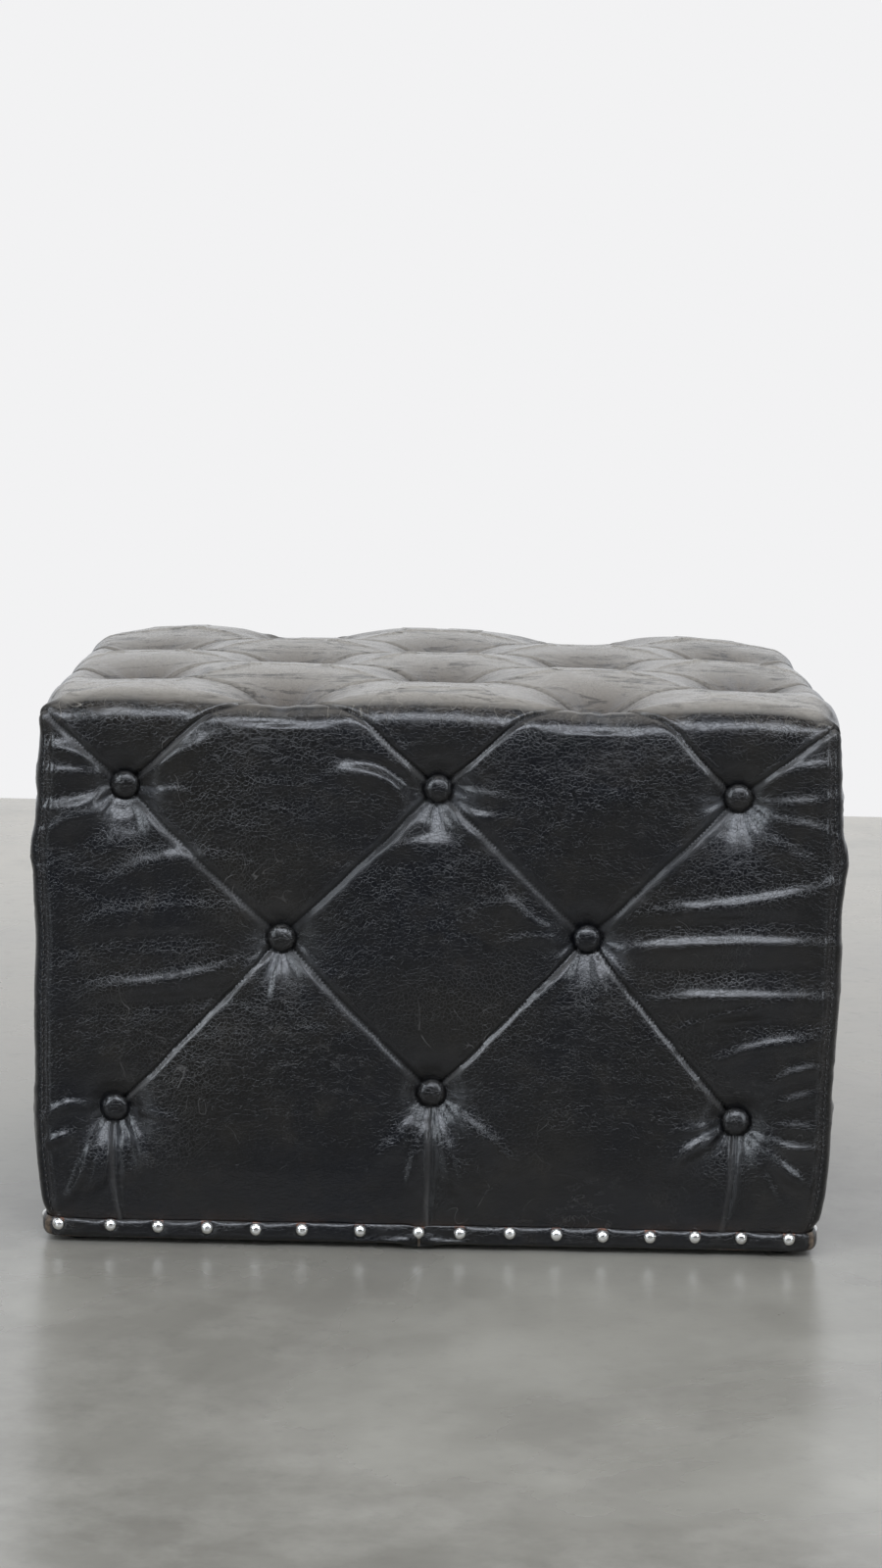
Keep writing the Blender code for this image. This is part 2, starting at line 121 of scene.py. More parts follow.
# --- the padded body's outer skin
def envelope(flat):
    """Points on the faces of a plain box to the padded body's skin, with the directions that face out."""
    core = np.stack([np.clip(flat[:, 0], CORNER - HALF_X, HALF_X - CORNER),
                     np.clip(flat[:, 1], CORNER - HALF_Y, HALF_Y - CORNER),
                     np.minimum(flat[:, 2], TOP - CORNER)], axis=1)
    offset = flat - core
    outward = unit(offset)
    level = (offset[:, 0] ** 4 + offset[:, 1] ** 4) ** 0.25
    skin = core + offset * (CORNER / np.hypot(level, offset[:, 2]))[:, None]
    across = np.abs(skin[:, 0]) / HALF_X
    along = np.abs(skin[:, 1]) / HALF_Y
    back = smoothstep(-HALF_Y, 0.0, skin[:, 1])
    # The seat falls off towards its edges, further at its corners, and further at its back ends.
    rim = 1 - (1 - across ** 6) * (1 - along ** 6) + (1.5 + 1.8 * back) * (across * along) ** 12
    rim = rim + 1.1 * back * across ** 6
    crown = CROWN * smoothstep(-HALF_Y, -0.3 * HALF_Y, skin[:, 1])
    skin[:, 2] += (crown - RIM_DROP * rim) * smoothstep(ROUNDED_FROM, TOP, skin[:, 2])
    rise = np.clip((skin[:, 2] - TAPER_LOW) / (TAPER_HIGH - TAPER_LOW), 0, 1)
    drawn_in = TAPER * (1 - rise) ** 2.4
    skin[:, 0] *= 1 - drawn_in / HALF_X
    skin[:, 1] *= 1 - drawn_in / HALF_Y
    return skin, outward


# Each upright face's outward direction, and its right-hand direction seen from outside.
FACES = {
    "front": (Vector((0, -1, 0)), Vector((1, 0, 0))),
    "back": (Vector((0, 1, 0)), Vector((-1, 0, 0))),
    "left": (Vector((-1, 0, 0)), Vector((0, -1, 0))),
    "right": (Vector((1, 0, 0)), Vector((0, 1, 0))),
}


def reach(face):
    """Distance of a face's plane from the middle, and half of the face's width."""
    return (HALF_Y, HALF_X) if face in ("front", "back") else (HALF_X, HALF_Y)


def on_face(face, across, up):
    """A point of the plain box. Above the top edge, up goes on over the seat."""
    normal, right = FACES[face]
    plane, _ = reach(face)
    over = max(0.0, up - TOP)
    return np.array(normal * (plane - over) + right * across + Vector((0, 0, min(up, TOP))))


def route(face, start, end):
    """Points every 2 mm of a straight line on a face between two (across, up), over the top edge too."""
    start, end = np.array(start, float), np.array(end, float)
    count = max(2, int(np.linalg.norm(end - start) / (2 * MM)))
    return np.array([on_face(face, *(start + (end - start) * i / count)) for i in range(count + 1)])


# --- where the buttons are
def tips(node, normal):
    """The outermost point of each button in a CAD node."""
    places = np.array([v.co for v in nodes[node].data.vertices])
    height = places @ np.array(normal)
    kept = []
    for place in places[height > height.max() - 0.05 * MM]:
        if all(np.linalg.norm(place - other) > 5 * MM for other in kept):
            kept.append(place)
    return kept


def upright_rows(face):
    """A face's buttons as rows of (across, up), from the upper row to the lowest."""
    normal, right = FACES[face]
    names = [n for n in sorted(nodes) if n.startswith(f"{face}_button")]
    spots = [tip for name in names for tip in tips(name, normal)]
    flat = sorted(((tip @ np.array(right), tip[2]) for tip in spots), key=lambda spot: -spot[1])
    return [sorted(flat[:3]), sorted(flat[3:5]), sorted(flat[5:])]


def seat_rows():
    """The seat's buttons as rows of (x, y), from the front row to the back one."""
    spots = [tips(n, (0, 0, 1))[0] for n in sorted(nodes) if n.startswith("top_button")]
    levels = sorted({round(float(s[1]), 3) for s in spots})
    return [sorted((s[0], s[1]) for s in spots if abs(s[1] - level) < 1 * MM) for level in levels]


UPRIGHT = {face: upright_rows(face) for face in FACES}
SEAT = seat_rows()


# --- pleats, seams and folds
class Line:
    """A line on the skin, through points of the plain box."""

    def __init__(self, flat):
        self.points, outward = envelope(flat)
        along = unit(np.gradient(self.points, axis=0))
        self.side = unit(np.cross(outward, along))


class Pleat(Line):
    """A folded line in the leather: a groove with the leather above it rolled over it."""

    def __init__(self, flat, depth=1.0, roll=1.0, flip=1.0, dull=0.0):
        super().__init__(flat)
        self.depth, self.roll, self.flip, self.dull = depth, roll, flip, dull
        share = np.linspace(0, 1, len(flat))
        self.middle = 1 - np.abs(2 * share - 1)
        self.sag = 0.55 + 0.45 * (1 - self.middle) ** 1.5
        wander = noise(self.points, 0.035, 3.1) + 0.5 * noise(self.points, 0.013, 8.7)
        wander *= 0.9 * MM * np.sin(share * math.pi)
        self.points = self.points + self.side * wander[:, None]


def unfolded(face, seat_spot):
    """A seat button as (across, up) on a face that is unfolded over the top edge."""
    normal, right = FACES[face]
    plane, _ = reach(face)
    place = Vector((*seat_spot, 0))
    return place.dot(right), TOP + plane - place.dot(normal)


def upright_pleats(face):
    """The diamonds of one face, its pleats over the top edge, to the corners and down to the foot."""
    high, mid, low = UPRIGHT[face]
    _, half = reach(face)
    pleats = []

    def add(start, end, depth=1.0, roll=1.0, dull=0.0):
        flip = 1.0 if end[0] > start[0] else -1.0
        pleats.append(Pleat(route(face, start, end), depth, roll, flip, dull))

    add(high[0], mid[0], 0.75, 0.5, 0.6)
    add(high[1], mid[0], 1.0, 0.45, 0.9)
    add(high[1], mid[1], 0.7, 0.4, 0.6)
    add(high[2], mid[1], 1.0, 0.45, 0.9)
    add(mid[0], low[0], 1.0, 0.9)
    add(mid[0], low[1], 1.0, 0.6, 0.5)
    add(mid[1], low[1], 1.0, 0.8)
    add(mid[1], low[2], 1.05, 0.9)
    for across, up in low:
        add((across, up), (across + 1 * MM, FOOT), 0.75, 0.3, 0.4)
    for spot, side in ((high[0], -1), (high[2], 1)):
        add(spot, (side * half, TOP - 4 * MM), 0.8, 0.8, 0.4)
    seat_spots = [unfolded(face, spot) for row in SEAT for spot in row]
    nearest = min(up for _, up in seat_spots)
    for spot in high:
        for seat_spot in seat_spots:
            if seat_spot[1] < nearest + 5 * MM and abs(seat_spot[0] - spot[0]) < 0.16:
                add(spot, seat_spot)
    return pleats


def seat_pleats():
    """The diamonds of the seat."""
    pleats = []
    for near, far in zip(SEAT, SEAT[1:]):
        for x, y in near:
            for other_x, other_y in far:
                if abs(other_x - x) < 0.14:
                    count = int(math.hypot(other_x - x, other_y - y) / (2 * MM))
                    share = np.linspace(0, 1, count)[:, None]
                    line = np.array([x, y, TOP]) + share * np.array([other_x - x, other_y - y, 0])
                    pleats.append(Pleat(line, flip=1.0 if other_x > x else -1.0))
    return pleats


def corner_seams():
    """The upright seams, just inside each corner on the front and the back."""
    seams = []
    for face in ("front", "back"):
        _, half = reach(face)
        for side in (-1, 1):
            across = side * (half - SEAM_INSET)
            seams.append(Pleat(route(face, (across, FOOT), (across, TOP - 8 * MM))))
    return seams


def near_line(points, line, radius):
    """The points within radius of a line: indices, distances, signed distances across it, segments."""
    low, high = line.points.min(0) - radius, line.points.max(0) + radius
    chosen = np.flatnonzero(np.all((points > low) & (points < high), axis=1))
    start = line.points[:-1]
    span = line.points[1:] - start
    squared = (span ** 2).sum(1)
    best = np.full(len(chosen), 1e9)
    signed = np.zeros(len(chosen))
    segment = np.zeros(len(chosen), int)
    near = points[chosen]
    for i in range(len(start)):
        off = near - start[i]
        share = np.clip(off @ span[i] / squared[i], 0, 1)
        apart = off - share[:, None] * span[i]
        distance = (apart ** 2).sum(1)
        closer = distance < best
        best[closer] = distance[closer]
        signed[closer] = apart[closer] @ line.side[i]
        segment[closer] = i
    best = np.sqrt(best)
    kept = best < radius
    return chosen[kept], best[kept], signed[kept], segment[kept]


class Fold(Line):
    """A soft ridge in the leather between two points of a face, as (across, up)."""

    def __init__(self, face, start, end, height, width, bow=0.0):
        start, end = np.array(start, float), np.array(end, float)
        share = np.linspace(0, 1, 24)[:, None]
        sideways = np.array([-(end - start)[1], (end - start)[0]])
        line = start + share * (end - start) + bow * np.sin(share * math.pi) * sideways
        super().__init__(np.array([on_face(face, *spot) for spot in line]))
        if self.side[:, 2].mean() < 0:
            self.side = -self.side
        self.height, self.width = height, width


def front_folds():
    """The folds beside the front's buttons."""
    # Across and up at both ends, height and width, in mm, and the bow as a share of the length.
    spans = [
        (155, 267, 294, 290, 2.4, 8, -0.03), (140, 254, 280, 262, -1.2, 6, 0.02),
        (125, 236, 298, 245, 2.6, 7, 0.02), (150, 222, 285, 226, -1.4, 8, 0),
        (151, 199, 294, 203, 2.4, 7, 0.02), (176, 175, 250, 197, 1.6, 5, 0.03),
        (190, 183, 290, 186, -1.2, 6, 0), (204, 151, 290, 172, 2, 6, 0.06),
        (252, 137, 288, 151, 1.8, 4.5, 0.08), (258, 120, 286, 131, 1.5, 4, 0.05),
        (246, 101, 290, 89, 2, 4.5, -0.14), (256, 105, 289, 102, 1.3, 4, 0.04),
        (240, 98, 284, 58, 3, 6, -0.03), (238, 92, 268, 34, 2, 6, 0), (222, 98, 184, 74, 2.6, 5, -0.12),
        (212, 104, 186, 100, 0.9, 4, 0), (234, 338, 294, 326, 1.8, 7, 0.06),
        (236, 352, 296, 358, 1.3, 6, -0.05), (230, 364, 290, 388, 1.2, 6, 0.04),
        (232, 330, 280, 300, 1.4, 7, 0.04), (-298, 336, -244, 350, 3, 8, -0.1),
        (-298, 366, -244, 359, 2.2, 7, 0.05), (-297, 312, -240, 336, 2.6, 9, 0.06),
        (-256, 276, -150, 300, 1.9, 9, 0.1), (-294, 392, -254, 372, 2.2, 6, 0.05),
        (-263, 252, -140, 262, 1.3, 8, 0.05), (-280, 232, -150, 240, -1.2, 8, 0.03),
        (-272, 200, -135, 224, 2.3, 8, -0.04), (-250, 188, -150, 196, -1.2, 7, 0),
        (-250, 106, -294, 96, 2.2, 4.5, -0.22), (-268, 88, -294, 77, 2.4, 4, -0.08),
        (-250, 100, -284, 26, 3, 6, 0.05), (-246, 96, -266, 30, 2.6, 5, 0.05),
        (-241, 94, -252, 46, 2.2, 4, 0.03), (-234, 94, -230, 50, 2.2, 4.5, 0),
        (-230, 100, -216, 60, 2.8, 4.5, 0.06), (-224, 108, -190, 98, 0.9, 4, 0.05),
        (-83, 382, -16, 350, -2.2, 5, 0.16), (-78, 371, -20, 346, 2, 6, 0.15),
        (8, 347, 44, 336, 2.2, 4.5, -0.1), (8, 343, 32, 318, 1.9, 4.5, -0.08),
        (12, 354, 50, 350, 1.3, 4, 0.05), (-10, 340, -46, 306, 1.3, 6, 0.05),
        (-220, 356, -168, 396, 2.4, 7, 0.08), (-218, 350, -186, 352, 1.3, 5, 0),
        (-226, 342, -206, 312, 1.6, 6, 0.05), (-238, 340, -244, 302, 1.4, 6, 0.05),
        (-10, 112, -44, 70, 2.2, 9, 0.06), (8, 112, 64, 68, 2.2, 8, 0.06), (4, 106, 22, 46, 2.8, 7, 0),
        (-6, 106, -18, 44, 2.6, 7, 0), (-128, 232, -152, 196, 1.4, 6, 0),
        (-118, 228, -122, 188, 1.8, 5, 0.02), (-106, 232, -86, 198, 1.8, 5, 0.04),
        (98, 246, 46, 282, 1.7, 6, 0.08), (98, 240, 56, 244, 1.4, 4.5, -0.1),
        (104, 232, 74, 196, 1.6, 5, 0.05), (118, 232, 126, 196, 1.8, 5, 0.05),
        (124, 234, 150, 206, 1.6, 4, 0), (-47, 303, 4, 314, 1.3, 7, 0.1), (20, 262, 70, 270, 0.9, 7, 0.08),
    ]
    return [Fold("front", (x * MM, z * MM), (end_x * MM, end_z * MM), 1.2 * height * MM, width * MM, bow)
            for x, z, end_x, end_z, height, width, bow in spans]


def other_folds(face):
    """Folds of the other faces: they run from the outer buttons to the corners and fan to the foot."""
    _, half = reach(face)
    folds = []
    for row in UPRIGHT[face]:
        for (across, up), side in ((row[0], -1), (row[-1], 1)):
            gap = half - abs(across) - 6 * MM
            for _ in range(5):
                rise = rng.uniform(-0.42, 0.42)
                start = (across + side * 13 * MM, up + 12 * MM * rise)
                end_across = across + side * gap * rng.uniform(0.7, 1.0)
                end = (end_across, up + gap * rise + rng.uniform(-10, 10) * MM)
                height, width = rng.uniform(1.0, 2.4) * MM, rng.uniform(4.5, 7.5) * MM
                folds.append(Fold(face, start, end, height, width, rng.uniform(-0.1, 0.1)))
    for spot in UPRIGHT[face][2]:
        for turn in rng.uniform(-1.0, 1.0, 5):
            away = np.array([math.sin(turn), -math.cos(turn)])
            end = spot + away * rng.uniform(38, 60) * MM
            height, width = rng.uniform(1.4, 2.3) * MM, rng.uniform(3.8, 5.5) * MM
            folds.append(Fold(face, spot + away * 11 * MM, end, height, width))
    return folds


# --- buttons that pull
class Puller:
    """A button that pulls the leather in, with the creases that it draws round itself."""

    def __init__(self, centre, normal, right, floor, wide, long):
        self.centre, self.normal, self.right = np.array(centre), np.array(normal), np.array(right)
        self.up = np.cross(self.normal, self.right)
        self.floor, self.wide, self.long = floor, wide, long
        self.count = rng.integers(11, 16)
        self.turns = rng.uniform(0, 2 * math.pi, 6)

    def pull(self, skin):
        """The points near the button: indices, distances, shares of the full pull, heights of the puckers."""
        off = skin - self.centre
        depth = off @ self.normal
        flat_off = off - depth[:, None] * self.normal
        apart = np.sqrt((flat_off ** 2).sum(1))
        chosen = np.flatnonzero((apart < 0.075) & (np.abs(depth) < 0.03))
        apart = apart[chosen]
        turn = np.arctan2(flat_off[chosen] @ self.up, flat_off[chosen] @ self.right)
        first, second, third, fourth, fifth, last = self.turns
        wave = self.count * turn + 1.6 * np.sin(2 * turn + first) + 1.1 * np.sin(3 * turn + second)
        wave = wave + 0.3 * np.sin(apart * 160 + last)
        ridge = 1 - 2 * np.abs(np.sin(wave / 2)) ** 1.1
        strong = 0.55 + 0.35 * np.sin(turn + third) + 0.4 * np.sin(3 * turn + fourth)
        strong = np.clip(strong + 0.2 * np.sin(5 * turn + fifth), 0.1, 1.2)
        spread = bell(np.maximum(apart - 15 * MM, 0), self.long) * smoothstep(8 * MM, 15 * MM, apart)
        below = 0.0
        if self.floor == SIDE_FLOOR:
            below = np.clip(-np.sin(turn), 0, 1) ** 2
            strong = strong * smoothstep(-0.35, 0.5, -np.sin(turn))
        funnel = np.exp(-(apart / (self.wide * (1 + 0.55 * below))) ** 1.8)
        return chosen, apart, funnel, ridge * strong * spread


def pullers():
    found = []
    for face, (normal, right) in FACES.items():
        for row, long in zip(UPRIGHT[face], (13 * MM, 13 * MM, 20 * MM)):
            for spot in row:
                found.append(Puller(on_face(face, *spot), normal, right, SIDE_FLOOR, 18.5 * MM, long))
    for row in SEAT:
        for x, y in row:
            found.append(Puller((x, y, TOP), (0, 0, 1), (1, 0, 0), SEAT_FLOOR, 27 * MM, 24 * MM))
    return found


PLEATS = [pleat for face in FACES for pleat in upright_pleats(face)] + seat_pleats()
SEAMS = corner_seams()
FOLDS = front_folds() + [fold for face in ("back", "left", "right") for fold in other_folds(face)]
PULLERS = pullers()
EARS = ((-1, 10 * MM), (1, 7 * MM))            # how far the left and the right top corners stand out


def upholstery(flat):
    """Points of the plain box to the tufted leather, with the measures that its colours use."""
    skin, outward = envelope(flat)
    height = skin[:, 2]
    inset = np.minimum(HALF_X - np.abs(flat[:, 0]), HALF_Y - np.abs(flat[:, 1]))
    on_seat = flat[:, 2] > TOP - 1e-6
    seat = np.where(on_seat, 0.5 + 0.5 * smoothstep(0, 0.055, inset),
                    0.5 * smoothstep(TOP - 0.05, TOP, flat[:, 2]))
    sag = SIDE_SAG + (SEAT_SAG - SIDE_SAG) * seat
    reach_of = SIDE_REACH + (SEAT_REACH - SIDE_REACH) * seat
    groove, valley_shade_and_dirt, dull, wear_and_sheen, lift, pucker, near_button, seam = np.zeros((8, len(flat)))
    flatness = np.ones(len(flat))
    slide = np.zeros((len(flat), 3))
    for pleat in PLEATS:
        chosen, apart, signed, segment = near_line(skin, pleat, 0.085)
        above = signed * pleat.flip > 0
        fall_off = np.exp(-apart / reach_of[chosen])
        flatness[chosen] *= 1 - min(pleat.depth, 1.0) * pleat.sag[segment] * fall_off
        fade = 1 - 0.6 * seat[chosen] * pleat.middle[segment]
        raise_to(groove, chosen, bell(apart, 1.9 * MM) * pleat.depth * fade)
        # Beside each pleat the leather is later painted darker: painted shade, with some dirt.
        raise_to(valley_shade_and_dirt, chosen, 0.6 * np.exp(-apart / (3.5 * MM)) * fade)
        raise_to(dull, chosen, pleat.dull * bell(apart, 5 * MM))
        uneven = np.clip(0.85 + 0.5 * noise(skin[chosen], 0.028, 6.0), 0.3, 1.3)
        roll = pleat.roll * uneven * fade
        # A pale line just below each pleat: painted highlight along the fold, and wear.
        rubbed = (1 - pleat.dull) * uneven * (1 - seat[chosen]) * bell(apart - 2.0 * MM, 1.5 * MM)
        raise_to(wear_and_sheen, chosen, rubbed * ~above)
        raise_to(lift, chosen, roll * bell(apart - 3.0 * MM, 1.8 * MM) * above)
        # Points right beside the line move onto it, and those a little above it roll over it.
        beside = apart < 0.6 * STEP
        rolled = roll * bell(apart - 2.6 * MM, 1.6 * MM) * (above & ~beside)
        sideways = np.where(beside, -signed, 0.0) - pleat.flip * 1.3 * MM * rolled
        slide[chosen] += sideways[:, None] * pleat.side[segment]
    depth = sag * (1 - flatness) - 1.1 * MM * lift
    for puller in PULLERS:
        chosen, apart, funnel, ridge = puller.pull(skin)
        pleat_sag = SEAT_SAG if puller.floor == SEAT_FLOOR else SIDE_SAG
        depth[chosen] += (puller.floor - pleat_sag) * funnel - 1.0 * MM * ridge
        pucker[chosen] += np.abs(ridge)
        # Round each button the leather is painted darker: painted shade in the well, with some dirt.
        raise_to(valley_shade_and_dirt, chosen, bell(apart, 42 * MM))
        raise_to(near_button, chosen, bell(apart, 14 * MM))
    for fold in FOLDS:
        chosen, apart, signed, segment = near_line(skin, fold, 3.2 * fold.width)
        ends = np.sin(math.pi * np.clip((segment + 0.5) / len(fold.points), 0, 1)) ** 0.7
        steeper = 1.15 + 0.4 * np.sign(signed)
        depth[chosen] -= fold.height * ends * bell(apart * steeper, fold.width)
    for line in SEAMS:
        chosen, apart, _, _ = near_line(skin, line, 12 * MM)
        raise_to(seam, chosen, bell(apart, 1.8 * MM))
    depth += 1.3 * MM * seam
    slack = 0.6 + 0.4 * flatness
    depth += slack * (1.4 * MM * noise(skin, 0.085, 1.0) + 0.8 * MM * noise(skin, 0.036, 4.0))
    depth += 0.25 * MM * noise(skin * np.array([1, 1, 1.8]), 0.013, 9.0)
    for x_side, size in EARS:
        for y_side in (-1, 1):
            ear = np.array([x_side * (HALF_X - 4 * MM), y_side * (HALF_Y - 4 * MM), TOP - 19 * MM])
            depth -= size * bell(np.linalg.norm(skin - ear, axis=1), 13 * MM)
    held = smoothstep(BAND_HIGH, BAND_HIGH + 0.03, height)
    above_band = smoothstep(BAND_HIGH - 2 * MM, BAND_HIGH + 6 * MM, height)
    depth = depth * held + (2.6 * MM + 1.8 * MM * seat) * groove * above_band
    # The ends bulge a little past the box, most of all between the upper and the middle buttons.
    full = np.where(flat[:, 0] > 0, 4.0, 2.0) + 5.5 * bell(height - 0.308, 0.018)
    full = full + 1.8 * noise(skin * np.array([0.2, 0.5, 1.0]), 0.034, 12.0)
    slide[:, 0] += np.sign(flat[:, 0]) * full * MM * (np.abs(flat[:, 0]) / HALF_X) ** 8 * flatness
    slide *= smoothstep(BAND_HIGH, BAND_HIGH + 0.01, height)[:, None]
    measures = {
        # The grooves and the rings round the buttons, which the material paints near-black as shade.
        "crease_shade": np.clip(groove + 0.8 * near_button, 0, 1),
        "valley_shade_and_dirt": valley_shade_and_dirt,
        "dull": np.clip(dull * held, 0, 1),
        "wear_and_sheen": np.clip(wear_and_sheen, 0, 1),
        "edge_wear": bell(flat[:, 2] - TOP - np.where(on_seat, inset, 0), 15 * MM),
        # How far the cover faces up; the material paints a pale reflection where it does.
        "seat": np.clip(outward[:, 2], 0, 1),
        "seam": seam,
        "foot": 1 - smoothstep(FOOT, BAND_HIGH + 0.012, height),
        "pucker": np.clip(pucker * 1.6, 0, 1) * held,
    }
    return skin - outward * depth[:, None] + slide, outward, measures


# --- materials
def srgb(red, green, blue):
    """A colour from 0-255 values to the linear values that shaders use."""
    shares = np.array([red, green, blue]) / 255
    linear = np.where(shares <= 0.04045, shares / 12.92, ((shares + 0.055) / 1.055) ** 2.4)
    return (*linear.tolist(), 1.0)


def add_node(tree, kind, sockets=None, **settings):
    """A shader node with these settings, and its sockets set to values or linked to other sockets."""
    node = tree.nodes.new("ShaderNode" + kind)
    for name, value in settings.items():
        setattr(node, name, value)
    for name, value in (sockets or {}).items():
        if isinstance(value, bpy.types.NodeSocket):
            tree.links.new(value, node.inputs[name])
        else:
            node.inputs[name].default_value = value
    return node


class Finish:
    """A Principled material whose colour, roughness and bump are built from nodes."""

    def __init__(self, name, **sockets):
        self.material = bpy.data.materials.new(name)
        self.material.use_nodes = True
        self.tree = self.material.node_tree
        self.shader = self.tree.nodes["Principled BSDF"]
        for socket, value in sockets.items():
            self.shader.inputs[socket.replace("_", " ")].default_value = value
        self.place = self.add("TexCoord").outputs["Object"]

    def add(self, kind, sockets=None, **settings):
        return add_node(self.tree, kind, sockets, **settings)

    def math(self, operation, a, b=0.0):
        return self.add("Math", {0: a, 1: b}, operation=operation).outputs[0]

    def times(self, a, *others):
        for other in others:
            a = self.math("MULTIPLY", a, other)
        return a

    def plus(self, a, b):
        return self.math("ADD", a, b)

    def scaled(self, x, y, z, vector=None, turn=(0.0, 0.0, 0.0)):
        sockets = {"Vector": vector or self.place, "Scale": (x, y, z), "Rotation": turn}
        return self.add("Mapping", sockets).outputs[0]

    def noise(self, scale, detail=3.0, rough=0.55, vector=None, warp=0.0):
        sockets = {"Vector": vector or self.place, "Scale": scale, "Detail": detail, "Roughness": rough,
                   "Distortion": warp}
        return self.add("TexNoise", sockets).outputs[0]

    def warped(self, scale, amount):
        """The place, shifted by a coloured noise."""
        sockets = {"Vector": self.place, "Scale": scale, "Detail": 2.0}
        shift = self.add("TexNoise", sockets).outputs["Color"]
        centred = self.add("VectorMath", {0: shift, 1: (0.5, 0.5, 0.5)}, operation="SUBTRACT").outputs[0]
        small = self.add("VectorMath", {0: centred, "Scale": amount}, operation="SCALE").outputs[0]
        return self.add("VectorMath", {0: self.place, 1: small}, operation="ADD").outputs[0]

    def ramp(self, value, low, high, start=0.0, end=1.0):
        sockets = {"Value": value, "From Min": low, "From Max": high, "To Min": start, "To Max": end}
        return self.add("MapRange", sockets, clamp=True).outputs[0]

    def cracks(self, scale, width, vector=None):
        """1 on the edges of irregular cells and 0 inside them."""
        sockets = {"Vector": vector or self.place, "Scale": scale}
        edge = self.add("TexVoronoi", sockets, feature="DISTANCE_TO_EDGE").outputs["Distance"]
        return self.ramp(edge, 0.0, width, 1.0, 0.0)

    def hairs(self, scale, width, vector, detail=4.0, seed=0.0):
        """1 on thin wandering lines."""
        moved = self.add("VectorMath", {0: vector, 1: (seed, seed, seed)}, operation="ADD").outputs[0]
        level = self.noise(scale, detail, 0.6, moved, 0.6)
        away = self.math("ABSOLUTE", self.math("SUBTRACT", level, 0.5))
        return self.ramp(away, 0.0, width, 1.0, 0.0)

    def mix(self, share, a, b):
        return self.add("Mix", {0: share, 6: a, 7: b}, data_type="RGBA").outputs[2]

    def measure(self, name):
        return self.add("Attribute", attribute_name=name).outputs["Fac"]

    def colour(self, value):
        self.body = value
        self.tree.links.new(value, self.shader.inputs["Base Color"])

    def paint(self, share, red, green, blue):
        """Lay a colour over the one so far."""
        self.colour(self.mix(share, self.body, srgb(red, green, blue)))

    def rough(self, value):
        self.tree.links.new(value, self.shader.inputs["Roughness"])

    def bump(self, *layers):
        """Layers of (height from 0 to 1, distance in metres)."""
        normal = None
        for height, distance in layers:
            sockets = {"Height": height, "Distance": distance, "Strength": 1.0}
            if normal is not None:
                sockets["Normal"] = normal
            normal = self.add("Bump", sockets).outputs[0]
        self.tree.links.new(normal, self.shader.inputs["Normal"])


